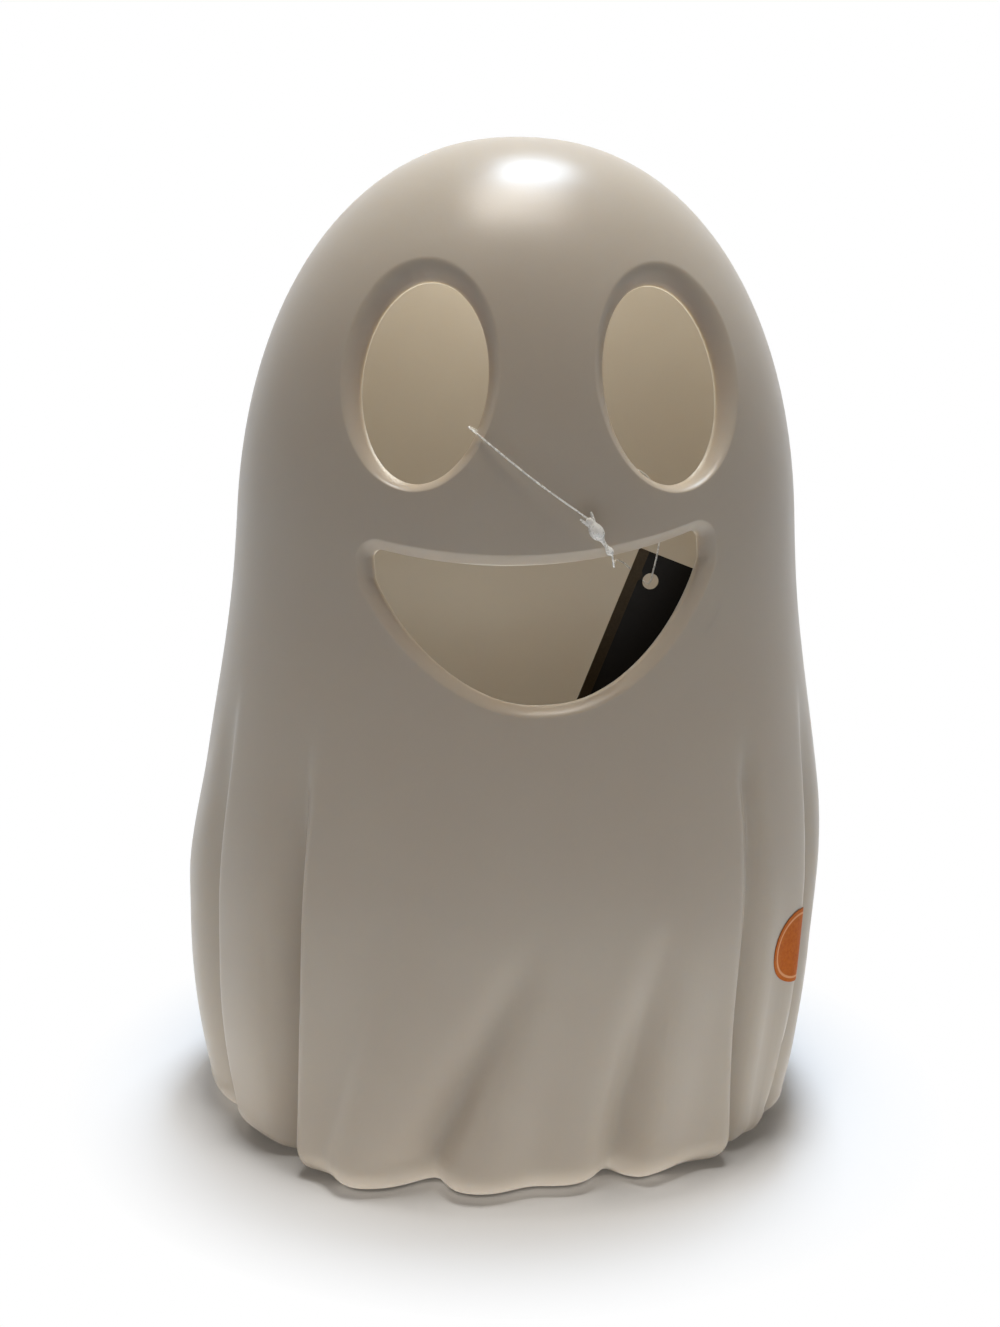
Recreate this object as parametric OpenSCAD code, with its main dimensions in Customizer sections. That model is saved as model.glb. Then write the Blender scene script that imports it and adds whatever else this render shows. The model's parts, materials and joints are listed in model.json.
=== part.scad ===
// Blow-moulded ghost lantern with a twist-in battery light unit and a swing tag.
// Millimetres. +Z is up, the face looks along -Y, and the origin is on the table under the middle.

/* [Ghost shell] */
// Height of the ghost
ghost_h = 356; // [300:1:430]
// Half width of the head, side to side
head_half_w = 102; // [84:1:124]
// Half width of the skirt where it is widest
skirt_half_w = 118; // [106:1:142]
// Depth of the body for each unit of its width
depth_ratio = 0.86; // [0.76:0.01:1]
// Height at which the head starts to round over
dome_z = 206; // [170:1:248]
// Roundness of the head, 2 is an ellipse
dome_power = 2.18; // [1.9:0.01:2.6]
// Height of the widest part of the skirt
skirt_z = 87; // [60:1:110]
// Squareness of the body seen from above, 2 is an ellipse
plan_power = 2.25; // [2:0.01:2.8]
// Moulded wall thickness
wall = 2; // [1.6:0.1:3]
// Radius of the rolled hem
hem_r = 12; // [9:0.5:15]
// Width of the flat ring that the hem stands on
foot_w = 4; // [2:0.5:6]
// How far the side and back folds tuck in at the hem
back_tuck = 9; // [0:0.5:12]

/* [Face] */
// Distance of each eye from the middle
eye_x = 40.8; // [32:0.1:46]
// Shift of both eyes to the right of the middle
eye_shift = 2; // [0:0.5:4]
// Height of the eyes
eye_z = 275.4; // [255:0.1:290]
// Half width of an eye hole
eye_half_w = 21.5; // [15:0.1:25]
// Half height of an eye hole
eye_half_h = 33.4; // [24:0.1:38]
// Lean of the eyes towards each other at the top, degrees
eye_lean = 8.5; // [0:0.5:12]
// Half width of the mouth hole
mouth_half_w = 56; // [40:0.5:64]
// Height of the mouth's corners
mouth_z = 224.5; // [205:0.5:232]
// How far the upper lip hangs below the corners
lip_drop = 7.5; // [0:0.5:14]
// How far the lower lip hangs below the corners
chin_drop = 53.5; // [30:0.5:60]
// Turn of the mouth, degrees
mouth_turn = 3.5; // [0:0.5:4]
// Rounding of the mouth's corners
mouth_corner_r = 3; // [1:0.5:5]
// Width of the sunken rim round the eyes and mouth
rim_w = 3.6; // [2:0.1:6]
// Depth of the sunken rim
rim_step = 3; // [1:0.1:4]

/* [Base socket] */
// Height of the floor's underside above the table
floor_z = 14; // [12:0.5:20]
// How far the floor's edge lies inside the hem
floor_in = 23.5; // [22:0.5:32]
// Radius of the bore that the light unit turns in
collar_bore_r = 42; // [40:0.5:44]
// Wall of the collar's sleeve
collar_wall = 3.5; // [2.5:0.1:5]
// Height of the sleeve above the collar's flange
sleeve_h = 20; // [17:0.5:24]
// Width of the collar's flange outside its sleeve
flange_w = 13; // [11:0.5:16]
// Thickness of the collar's flange
flange_t = 3; // [2:0.1:4]
// Thickness of the clamp ring on the floor
clamp_t = 3; // [2:0.1:5]
// Height of the screw bosses on the clamp ring
clamp_boss_h = 8; // [6:0.5:12]
// Number of collar screws
collar_screw_count = 4; // [3:1:6]
// Turn of the light unit from locked to free, degrees
twist_angle = 40; // [30:1:45]

/* [Light unit] */
// Radius of a battery
battery_r = 7.1; // [6.8:0.05:7.25]
// Length of a battery with its button
battery_l = 50.5; // [49:0.1:51]
// Gap between neighbouring batteries
battery_gap = 1.3; // [0.6:0.1:1.6]
// Length of a compressed contact spring
spring_l = 6.6; // [5:0.1:7]
// Wall of the light unit's cup and battery bay
cup_wall = 2; // [1.4:0.1:2.4]
// Thickness of the unit's bottom plate
plate_t = 3; // [2.6:0.1:3.6]
// Room for the seal between the bottom plate and the collar
seal_room = 2.5; // [1.5:0.1:3.5]
// Width of the seal ring
seal_w = 4; // [2:0.1:5]
// Thickness of the deck over the batteries
deck_t = 2; // [1.2:0.1:3]
// Height of the posts under the lamp board
post_h = 2.5; // [2:0.1:4]
// Radius of the lamp board
board_r = 27; // [25:0.5:28]
// Thickness of the lamp board
board_t = 1.6; // [1:0.1:2]
// Number of lamps
lamp_count = 6; // [3:1:8]
// Radius of a lamp
lamp_r = 2.5; // [1.5:0.1:3]
// Radius of the diffuser dome
dome_r = 31; // [30:0.5:32]
// Height of the diffuser dome above its flange
dome_h = 27; // [18:1:45]
// Wall of the diffuser dome
dome_wall = 1.5; // [1:0.1:2]
// Thickness of the unit's top cover
cover_t = 2.5; // [2:0.1:4]
// Thickness of the battery door
door_t = 2.4; // [2:0.1:2.8]
// Radius of the door's hinge pins
pin_r = 1.2; // [1:0.05:1.4]
// Travel of the switch knob to each side
switch_travel = 3; // [2:0.5:4]

/* [Tag and sticker] */
// Width of the tag
tag_w = 40; // [30:1:50]
// Length of the tag
tag_l = 82; // [60:1:100]
// Thickness of the tag
tag_t = 0.5; // [0.3:0.1:1]
// Radius of the tag's hole
tag_hole_r = 2.8; // [2:0.1:3.5]
// Distance of the hole from the tag's side edge
tag_hole_side = 7.9; // [5:0.1:12]
// Distance of the hole from the tag's top edge
tag_hole_top = 9.4; // [6:0.1:14]
// Diameter of the tag's loop
loop_d = 0.6; // [0.4:0.1:1]
// Radius of the round sticker
sticker_r = 13.5; // [8:0.5:16]
// Thickness of the sticker
sticker_t = 0.25; // [0.1:0.05:0.5]
// Direction of the sticker round the body, degrees from the face
sticker_angle = 57.5; // [50:0.5:70]
// Height of the sticker's middle
sticker_z = 76; // [50:1:120]

/* [Clearances] */
// Gap between parts that move past each other
move_gap = 0.4; // [0.3:0.05:0.8]
// Gap between the light unit's cup and the collar's bore
cup_gap = 0.6; // [0.4:0.1:1]
// Gap round a turning hinge pin
pin_gap = 0.05; // [0.02:0.01:0.1]
// Gap between parts that are put together
seat_gap = 0.3; // [0.1:0.05:0.5]
// Gap round the shank of a screw
shank_gap = 0.2; // [0.1:0.05:0.4]
// Bite of a self-tapping screw into its boss
thread_bite = 0.25; // [0.1:0.05:0.4]

/* [Hidden] */
$fn = 48;
cut = 1;
columns = 72;
side_rows = 7;
straight_rows = 5;
dome_rows = 9;
flare_over = 20;
tuck_z = 70;
tuck_from = 45;
tuck_span = 14;
floor_slope = tan(30);
face_cut_back = 30;
face_cut_l = 120;
eye_facets = 48;
mouth_stations = 12;
mouth_power = 1.7;
rim_lift = 0.35;

// Turns of the hem's roll: degrees round it, and the side of the flat foot
HEM = [[30, 1], [60, 1], [90, 1], [90, -1], [120, -1], [150, -1]];

// Folds of the skirt: angle at the hem, angle at the top, top height, fade length, depth, half width.
// A depth below zero is a bulge.
FOLDS = [
    [-48.5, -45.5, 170, 90, 12, 8],
    [46, 43.8, 135, 100, 8, 5.5],
    [-70, -67.5, 175, 90, 6.5, 8],
    [58, 66, 175, 90, 8, 8],
    [-116, -113, 165, 90, 8, 9],
    [112, 110, 165, 90, 8, 9],
    [-148, -145, 160, 90, 7, 9],
    [148, 145, 160, 90, 7, 9],
    [-23.5, 4, 110, 85, 8.5, 9],
    [-1, 9, 110, 100, 2, 9],
    [17.5, 26, 110, 85, 9, 8],
    [-170, -165, 150, 110, 4, 10],
    [168, 172, 140, 110, 4, 10],
    [-36, -21, 110, 100, -6, 14],
    [35, 37, 110, 95, 6, 16],
    [51, 52, 120, 110, 6, 9],
    [80, 80, 125, 90, 7.5, 24],
    [-86, -86, 135, 50, -3.3, 25],
    [14, 14, 110, 100, 2.5, 20],
    [-12, 4, 110, 100, -2.8, 12],
    [180, 180, 110, 100, -2.5, 20],
    [-40.5, -28, 110, 85, 3, 8],
    [44.6, 43.6, 160, 22, 3, 3.4],
];

// Base socket, worked up from the floor
collar_z = floor_z - flange_t;
sleeve_r = collar_bore_r + collar_wall;
flange_r = sleeve_r + flange_w;
flange_room = 2;
floor_hole_r = sleeve_r + move_gap;
clamp_z = floor_z + wall;
screw_ring_r = sleeve_r + flange_w * 0.58;
collar_screw_r = 1.6;
collar_head_r = 3.1;
collar_head_h = 2;
boss_wall = 2.4;

// Light unit, worked up from its bottom plate
cup_r = collar_bore_r - cup_gap;
plate_z = collar_z - seal_room;
base_z = plate_z - plate_t;
plate_r = sleeve_r + 3.5;
battery_pitch = 2 * battery_r + battery_gap;
contact_t = 0.4;
bay_half_l = (battery_l + spring_l + 2 * contact_t) / 2;
bay_half_d = battery_pitch + battery_r + battery_gap / 2;
battery_lift = 0.5;
battery_z = plate_z + battery_lift + battery_r;
deck_z = battery_z + battery_r + battery_lift;
post_z = deck_z + deck_t;
board_z = post_z + post_h;
lamp_z = board_z + board_t;
dome_flange_t = 1.5;
dome_flange_z = lamp_z + 1.9;
cover_z = dome_flange_z + dome_flange_t;
lug_h = 4;
lug_z = plate_z + 11.5;
lug_out = collar_wall - 1.2;
lug_half_angle = 9;
lug_count = 3;
slot_spare_angle = 1.2;
entry_spare_angle = 0.8;
cover_screw_r = 1.4;
cover_head_r = 2.6;
cover_head_h = 1.8;
cover_boss_r = cover_screw_r - thread_bite + 2;
boss_reach = cup_r - cup_wall - cover_boss_r - seat_gap;
COVER_SCREW_ANGLES = [0, 148, 212];
board_screw_r = 1.2;
board_head_r = 2.3;
board_head_h = 1.5;
post_r = 3;
board_screw_x = 20;
lamp_ring_r = 15;
lamp_h = 5;

// Battery door and its hinge
door_half_w = bay_half_l + 1;
door_back_y = bay_half_d + cup_wall * 0.75;
door_front_y = -bay_half_d - cup_wall - seat_gap;
door_z = plate_z - move_gap - door_t;
hinge_z = door_z + door_t / 2;
barrel_r = pin_r + 1;
knuckle_r = pin_r + 1.5;
hinge_y = door_back_y + barrel_r + 1.4;
arm_x = 10;
arm_w = 6;
pin_l = 4;
knuckle_l = pin_l + move_gap;
door_tab_w = 14;
door_tab_d = 2.4;
door_tab_h = 1.2;

// Mode switch
switch_y = -(bay_half_d + cup_wall + 5.8);
knob_w = 4.6;
knob_d = 2.8;
knob_drop = 1.2;
knob_slot_half_w = knob_w / 2 + switch_travel + move_gap;
knob_slot_half_d = knob_d / 2 + move_gap;
switch_wall = 1.2;
switch_w = 2 * (knob_slot_half_w + switch_wall);
switch_d = 2 * (knob_slot_half_d + switch_wall);
switch_h = 6;
knob_rise = 2;

// Tag, hung by its hole inside the mouth
tag_at = [41, -58, 207];
tag_tilt = atan((tag_w / 2 - tag_hole_side) / (tag_l / 2 - tag_hole_top));

// The tag's loop: lock, over the nose, left eye, behind the face, tag hole, under the lip, lock
LOOP = [
    [14.5, -89, 232.5], [0, -88.3, 242.5], [-8, -87, 248.5], [-15, -85.2, 254], [-19.5, -83.2, 257.6],
    [-22.4, -80.4, 259.8], [-23.1, -77.6, 260.3], [-21.5, -75.2, 259.6], [-14, -70, 255.5],
    [-4, -63.5, 249], [7, -61, 245.5], [18, -63, 245.5], [28, -67, 247], [35.5, -68.6, 245],
    [40.5, -67.8, 238.5], [42.5, -66, 230], [42.5, -62.5, 219], [41.4, -60, 210.5], [41, -58, 207],
    [40, -56, 206], [37, -55.4, 208.5], [32, -56.6, 213], [28.5, -62, 215], [26.5, -71, 215.5],
    [25, -79, 215.8], [24, -85.5, 216.3], [23.2, -89.6, 217.8], [22.5, -90.6, 221],
];
loop_steps = 3;
loop_sides = 8;
lock_r = 1.9;
lock_shell = 0.8;

// Wires from the battery contacts to the lamp board
wire_d = 1.2;
tab_w = 3;
tab_h = 3;
wire_gap = 0.05;
wire_x = bay_half_l - contact_t - wire_d / 2 - wire_gap;
wire_sides = 8;
wire_steps = 3;

// Curves and sums

function smooth(t) = let (k = min(1, max(0, t))) k * k * (3 - 2 * k);
function sum(list, i = 0) = i < len(list) ? list[i] + sum(list, i + 1) : 0;
function wrap(angle) = angle - 360 * round(angle / 360);
function unit(v) = v / norm(v);

// Share of the head's width that is left at height z
function dome_share(z, inset) =
    z <= dome_z ? 1 :
    pow(max(0, 1 - pow((z - dome_z) / (ghost_h - inset - dome_z), dome_power)), 1 / dome_power);

function flare(z) =
    (skirt_half_w - head_half_w) * smooth((dome_z + flare_over - z) / (dome_z + flare_over - skirt_z));

function tuck(phi, z) =
    back_tuck * smooth((abs(wrap(phi)) - tuck_from) / tuck_span) * pow(max(0, 1 - z / tuck_z), 2);

function fold_angle(fold, z) = fold[0] + (fold[1] - fold[0]) * min(1, z / fold[2]);

function groove(phi, z, r, fold) =
    let (arc = wrap(phi - fold_angle(fold, z)) * PI / 180 * r)
    fold[4] * smooth((fold[2] - z) / fold[3]) * exp(-pow(arc / fold[5], 2));

// Distance from the middle to the skin, at an angle from the face, a height and a depth under the skin
function skin_r(phi, z, inset) =
    let (share = dome_share(z, inset))
    let (a = (head_half_w - inset) * share + flare(z))
    let (b = (head_half_w * depth_ratio - inset) * share + flare(z) * depth_ratio)
    let (p = plan_power)
    let (r = pow(pow(abs(sin(phi)) / a, p) + pow(abs(cos(phi)) / b, p), -1 / p))
    r - tuck(phi, z) - sum([for (fold = FOLDS) groove(phi, z, r, fold)]);

function skin_point(phi, z, inset) =
    let (r = skin_r(phi, z, inset))
    [r * sin(phi), -r * cos(phi), z];

// One turn of the hem's roll, which stands on a flat foot
function hem_point(phi, turn, inset) =
    let (foot = (turn[1] - 1) * foot_w / 2)
    let (r = skin_r(phi, hem_r, 0) - hem_r + foot + (hem_r - inset) * cos(turn[0]))
    [r * sin(phi), -r * cos(phi), hem_r - (hem_r - inset) * sin(turn[0])];

// The floor's edge, which always leaves room for the collar's flange
function floor_point(phi, inset) =
    let (edge_r = max(skin_r(phi, hem_r, 0) - floor_in - foot_w, flange_r + flange_room))
    let (r = edge_r + floor_slope * inset)
    [r * sin(phi), -r * cos(phi), floor_z + inset];

// Angles of one ring of points, counted up from the hem; above the folds each ring is half a step on
function ring_angles(row) =
    [for (j = [0:columns - 1]) (j - max(0, row - straight_rows) / 2) * 360 / columns];

// All points of the skin, ring by ring from the top of the head to the floor
function skin_points(inset) =
    let (rise = ghost_h - inset - dome_z)
    concat(
        [[0, 0, ghost_h - inset]],
        [for (i = [dome_rows - 1:-1:1], phi = ring_angles(side_rows + i))
            skin_point(phi, dome_z + rise * pow(sin(i * 90 / dome_rows), 2 / dome_power), inset)],
        [for (i = [side_rows:-1:0], phi = ring_angles(i))
            skin_point(phi, hem_r + (dome_z - hem_r) * i / side_rows, inset)],
        [for (turn = HEM, phi = ring_angles(0)) hem_point(phi, turn, inset)],
        [for (phi = ring_angles(0)) floor_point(phi, inset)],
        [[0, 0, floor_z + inset]]
    );

rings = dome_rows - 1 + side_rows + 1 + len(HEM) + 1;

function ring_index(i, j) = 1 + i * columns + j % columns;

SKIN_FACES = concat(
    [for (j = [0:columns - 1]) [0, ring_index(0, j + 1), ring_index(0, j)]],
    [for (i = [0:rings - 2], j = [0:columns - 1])
        [ring_index(i, j), ring_index(i, j + 1), ring_index(i + 1, j)]],
    [for (i = [0:rings - 2], j = [0:columns - 1])
        [ring_index(i, j + 1), ring_index(i + 1, j + 1), ring_index(i + 1, j)]],
    [for (j = [0:columns - 1])
        [1 + rings * columns, ring_index(rings - 1, j), ring_index(rings - 1, j + 1)]]
);

module skin(inset) {
    polyhedron(skin_points(inset), SKIN_FACES);
}

// Tubes along a route

function spline(a, b, c, d, t) =
    0.5 * (2 * b + (c - a) * t + (2 * a - 5 * b + 4 * c - d) * t * t + (3 * b - a - 3 * c + d) * t * t * t);

function route(points, steps) =
    let (last = len(points) - 1)
    concat(
        [for (i = [0:last - 1], s = [0:steps - 1])
            spline(points[max(0, i - 1)], points[i], points[i + 1], points[min(last, i + 2)], s / steps)],
        [points[last]]
    );

function tangent(path, i) = unit(path[min(len(path) - 1, i + 1)] - path[max(0, i - 1)]);

function square_to(v, t) = unit(v - (v * t) * t);

// Side vectors carried along the path without twist
function carried(path, first) =
    [for (i = 0, v = square_to(first, tangent(path, 0)); i < len(path);
          i = i + 1, v = i < len(path) ? square_to(v, tangent(path, i)) : v) v];

module tube(path, d, sides, first) {
    side = carried(path, first);
    count = len(path);
    points = [for (i = [0:count - 1], k = [0:sides - 1])
        let (t = tangent(path, i))
        let (a = k * 360 / sides)
        path[i] + d / 2 * (cos(a) * side[i] + sin(a) * cross(t, side[i]))];
    faces = concat(
        [[for (k = [0:sides - 1]) k]],
        [for (i = [0:count - 2], k = [0:sides - 1])
            [i * sides + k, (i + 1) * sides + k, (i + 1) * sides + (k + 1) % sides]],
        [for (i = [0:count - 2], k = [0:sides - 1])
            [i * sides + k, (i + 1) * sides + (k + 1) % sides, i * sides + (k + 1) % sides]],
        [[for (k = [sides - 1:-1:0]) (count - 1) * sides + k]]
    );
    polyhedron(points, faces);
}

// Small shapes

module ring(r_out, r_in, h) {
    difference() {
        cylinder(r = r_out, h = h, $fn = 96);
        translate([0, 0, -cut]) cylinder(r = r_in, h = h + 2 * cut, $fn = 96);
    }
}

// A block given by its half sizes in X and Y, standing on z
module block(half_x, half_y, z, h) {
    translate([-half_x, -half_y, z]) cube([2 * half_x, 2 * half_y, h]);
}

// A sector of a ring, half an angle to each side of +X
module sector(r_out, r_in, h, half_angle) {
    rotate([0, 0, -half_angle])
        rotate_extrude(angle = 2 * half_angle, $fn = 96)
        translate([r_in, 0])
        square([r_out - r_in, h]);
}

module along_x(x) {
    translate([x, 0, 0]) rotate([0, 90, 0]) children();
}

module pan_screw(shank_r, shank_l, head_r, head_h) {
    translate([0, 0, -shank_l]) cylinder(r = shank_r, h = shank_l + head_h / 2);
    difference() {
        cylinder(r = head_r, h = head_h);
        translate([0, 0, head_h / 2]) block(head_r * 0.6, head_r * 0.13, 0, head_h);
        translate([0, 0, head_h / 2]) block(head_r * 0.13, head_r * 0.6, 0, head_h);
    }
}

module at_collar_screws() {
    for (i = [0:collar_screw_count - 1]) {
        rotate([0, 0, (i + 0.5) * 360 / collar_screw_count]) translate([screw_ring_r, 0, 0]) children();
    }
}

module at_cover_screws() {
    for (a = COVER_SCREW_ANGLES) {
        translate([boss_reach * sin(a), boss_reach * cos(a), 0]) children();
    }
}

module at_board_screws() {
    for (side = [-1, 1]) {
        translate([side * board_screw_x, 0, 0]) children();
    }
}

// Ghost shell

function lip_z(x) = -lip_drop * (1 - pow(x / mouth_half_w, 2));
function chin_z(x) = -chin_drop * pow(1 - pow(min(1, abs(x) / mouth_half_w), mouth_power), 1 / mouth_power);

module mouth_outline(grow) {
    reach = mouth_half_w - mouth_corner_r;
    translate([0, mouth_z]) rotate(mouth_turn)
        for (i = [0:mouth_stations - 1]) {
            hull() {
                for (k = [i, i + 1]) {
                    x = -reach + 2 * reach * k / mouth_stations;
                    top = lip_z(x) - mouth_corner_r;
                    low = min(top, chin_z(x) + mouth_corner_r);
                    translate([x, top]) circle(r = mouth_corner_r + grow, $fn = 16);
                    translate([x, low]) circle(r = mouth_corner_r + grow, $fn = 16);
                }
            }
        }
}

// The rim round an eye is wider at its top
module eye_outline(side, grow) {
    translate([eye_shift + side * eye_x, eye_z])
        rotate(side * eye_lean)
        translate([0, rim_lift * grow])
        scale([eye_half_w + grow, eye_half_h + grow])
        circle(r = 1, $fn = eye_facets);
}

// The eyes and mouth, cut straight back through the front
module face_cut(grow) {
    translate([0, -face_cut_back, 0])
        rotate([90, 0, 0])
        linear_extrude(face_cut_l) {
            eye_outline(-1, grow);
            eye_outline(1, grow);
            mouth_outline(grow);
        }
}

// Rooted half way into the skin
module sunken_rim_wall() {
    intersection() {
        face_cut(rim_w + wall);
        difference() {
            skin(wall / 2);
            skin(rim_step + wall);
        }
    }
}

module ghost_shell() {
    color("#b9b0a2")
    difference() {
        union() {
            difference() {
                skin(0);
                skin(wall);
            }
            sunken_rim_wall();
        }
        difference() {
            face_cut(rim_w);
            skin(rim_step);
        }
        face_cut(0);
        translate([0, 0, floor_z - cut]) cylinder(r = floor_hole_r, h = wall + 2 * cut, $fn = 64);
        at_collar_screws() {
            translate([0, 0, floor_z - cut])
                cylinder(r = collar_screw_r + shank_gap, h = wall + 2 * cut, $fn = 16);
        }
    }
}

// Base socket

module socket_collar() {
    color("#e8e4da")
    difference() {
        union() {
            translate([0, 0, collar_z]) ring(flange_r, collar_bore_r, flange_t);
            translate([0, 0, collar_z]) ring(sleeve_r, collar_bore_r, flange_t + sleeve_h);
        }
        for (i = [0:lug_count - 1]) {
            rotate([0, 0, i * 360 / lug_count]) lug_slot();
        }
        at_collar_screws() {
            translate([0, 0, collar_z - cut])
                cylinder(r = collar_screw_r + shank_gap, h = flange_t + 2 * cut);
        }
    }
}

// L-shaped way for one lug: up at the free angle, then round to the locked angle
module lug_slot() {
    slot_half = lug_half_angle + slot_spare_angle;
    entry_half = lug_half_angle + entry_spare_angle;
    slot_top = lug_z + lug_h + move_gap;
    entry_r = cup_r + lug_out + move_gap;
    rotate([0, 0, twist_angle / 2])
        translate([0, 0, lug_z - move_gap])
        sector(sleeve_r + cut, collar_bore_r - cut, lug_h + 2 * move_gap, slot_half + twist_angle / 2);
    rotate([0, 0, twist_angle])
        translate([0, 0, collar_z - cut])
        sector(entry_r, collar_bore_r - cut, slot_top - collar_z + cut, entry_half);
}

module clamp_ring() {
    pilot_r = collar_screw_r - thread_bite;
    color("#e8e4da")
    difference() {
        union() {
            translate([0, 0, clamp_z]) ring(flange_r, floor_hole_r, clamp_t);
            at_collar_screws() {
                translate([0, 0, clamp_z]) cylinder(r = pilot_r + boss_wall, h = clamp_boss_h);
            }
        }
        at_collar_screws() {
            translate([0, 0, clamp_z - cut]) cylinder(r = pilot_r, h = clamp_boss_h + 2 * cut);
        }
    }
}

module collar_screws() {
    shank_l = flange_t + wall + clamp_boss_h - 1;
    color("silver")
    at_collar_screws() {
        translate([0, 0, collar_z]) rotate([180, 0, 0])
            pan_screw(collar_screw_r, shank_l, collar_head_r, collar_head_h);
    }
}

// Sticker and tag

// A thin round patch that follows the skin
module round_sticker() {
    circles = 4;
    sectors = 32;
    base_r = skin_r(sticker_angle, sticker_z, 0);
    layer = 1 + circles * sectors;
    function spot(i, k, lift) =
        let (rho = sticker_r * i / circles)
        let (phi = sticker_angle + rho * cos(k * 360 / sectors) / base_r * 180 / PI)
        let (z = sticker_z + rho * sin(k * 360 / sectors))
        let (r = skin_r(phi, z, 0) + lift)
        [r * sin(phi), -r * cos(phi), z];
    function at(i, k) = i == 0 ? 0 : 1 + (i - 1) * sectors + k % sectors;
    points = concat(
        [spot(0, 0, sticker_t)],
        [for (i = [1:circles], k = [0:sectors - 1]) spot(i, k, sticker_t)],
        [spot(0, 0, 0)],
        [for (i = [1:circles], k = [0:sectors - 1]) spot(i, k, 0)]
    );
    fan = [for (k = [0:sectors - 1]) [at(0, k), at(1, k + 1), at(1, k)]];
    bands = [for (i = [1:circles - 1], k = [0:sectors - 1], half = [0, 1])
        half == 0 ? [at(i, k), at(i, k + 1), at(i + 1, k + 1)] : [at(i, k), at(i + 1, k + 1), at(i + 1, k)]];
    front = concat(fan, bands);
    back = [for (f = front) [f[0] + layer, f[2] + layer, f[1] + layer]];
    edge = [for (k = [0:sectors - 1], half = [0, 1])
        let (a = at(circles, k))
        let (b = at(circles, k + 1))
        half == 0 ? [a, b, b + layer] : [a, b + layer, a + layer]];
    color("#d9661a") polyhedron(points, concat(front, back, edge));
}

module tag_loop() {
    color("#f4f4f2") tube(route(LOOP, loop_steps), loop_d, loop_sides, [0, 1, 0]);
}

// Barbed lock that joins the two ends of the loop
module tag_lock() {
    top = LOOP[0];
    low = LOOP[len(LOOP) - 1];
    span = norm(top - low);
    lean = atan2(low[0] - top[0], top[2] - low[2]);
    color("#f4f4f2")
    translate(low)
    rotate([0, -lean, 0]) {
        difference() {
            cylinder(r = lock_r, h = span);
            translate([0, 0, -cut]) cylinder(r = lock_r - lock_shell, h = loop_d * 3 + cut);
            translate([0, 0, span - loop_d * 3]) cylinder(r = lock_r - lock_shell, h = loop_d * 3 + cut);
        }
        translate([0, 0, span * 0.3]) cylinder(r1 = lock_r, r2 = lock_r + 0.5, h = span * 0.2);
        translate([0, 0, span * 0.5]) cylinder(r1 = lock_r + 0.5, r2 = lock_r, h = span * 0.2);
    }
}

module hang_tag() {
    color("#15120f")
    translate(tag_at)
        rotate([0, tag_tilt, 0])
        difference() {
            translate([-tag_hole_side, -tag_t / 2, tag_hole_top - tag_l]) cube([tag_w, tag_t, tag_l]);
            translate([0, tag_t, 0]) rotate([90, 0, 0]) cylinder(r = tag_hole_r, h = 2 * tag_t);
        }
}

// Light unit

module unit_housing() {
    pilot_r = cover_screw_r - thread_bite;
    color("#e8e4da")
    difference() {
        union() {
            translate([0, 0, base_z]) cylinder(r = plate_r, h = plate_t, $fn = 96);
            translate([0, 0, base_z]) ring(cup_r, cup_r - cup_wall, cover_z - base_z);
            intersection() {
                block(bay_half_l + cup_wall, bay_half_d + cup_wall, base_z, post_z - base_z);
                translate([0, 0, base_z]) cylinder(r = cup_r - cup_wall / 2, h = post_z - base_z, $fn = 96);
            }
            at_cover_screws() {
                translate([0, 0, base_z]) cylinder(r = cover_boss_r, h = dome_flange_z - base_z);
            }
            at_board_screws() {
                translate([0, 0, deck_z]) cylinder(r = post_r, h = board_z - deck_z);
            }
            for (i = [0:lug_count - 1]) {
                rotate([0, 0, i * 360 / lug_count])
                    translate([0, 0, lug_z])
                    sector(cup_r + lug_out, cup_r - cup_wall / 2, lug_h, lug_half_angle);
            }
            for (side = [0, 1]) {
                mirror([side, 0, 0]) hinge_knuckle();
            }
        }
        block(bay_half_l, bay_half_d, base_z - cut, deck_z - base_z + cut);
        door_recess();
        for (side = [0, 1]) {
            mirror([side, 0, 0]) hinge_cuts();
        }
        translate([0, switch_y, 0])
            block(knob_slot_half_w, knob_slot_half_d, base_z - cut, plate_t + 2 * cut);
        at_cover_screws() {
            translate([0, 0, plate_z]) cylinder(r = pilot_r, h = dome_flange_z - plate_z + cut);
        }
        at_board_screws() {
            translate([0, 0, deck_z + deck_t / 2])
                cylinder(r = board_screw_r - thread_bite, h = post_h + deck_t);
        }
        for (side = [0, 1]) {
            mirror([side, 0, 0]) mirror([0, side, 0]) tab_slot();
        }
    }
}

// Slot in the deck for one solder tab
module tab_slot() {
    translate([bay_half_l - contact_t - seat_gap, -battery_pitch - tab_w / 2 - seat_gap, deck_z - cut])
        cube([contact_t + seat_gap, tab_w + 2 * seat_gap, deck_t + 2 * cut]);
}

// Opening in the bottom plate that the door closes
module door_recess() {
    translate([-door_half_w - move_gap, door_front_y - move_gap, base_z - cut])
        cube([2 * (door_half_w + move_gap), door_back_y - door_front_y + 2 * move_gap, plate_t + cut]);
}

module hinge_knuckle() {
    translate([0, hinge_y, hinge_z]) along_x(arm_x + arm_w + move_gap) cylinder(r = knuckle_r, h = knuckle_l);
}

// Room for one door arm and the bore for its pin
module hinge_cuts() {
    translate([arm_x - move_gap, door_back_y - cut, base_z - cut])
        cube([arm_w + 2 * move_gap, hinge_y - door_back_y + barrel_r + move_gap + cut, plate_t + 2 * cut]);
    translate([0, hinge_y, hinge_z])
        along_x(arm_x - move_gap)
        cylinder(r = barrel_r + move_gap, h = arm_w + 2 * move_gap);
    translate([0, hinge_y, hinge_z])
        along_x(arm_x + arm_w)
        cylinder(r = pin_r + pin_gap, h = knuckle_l + move_gap);
}

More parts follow.
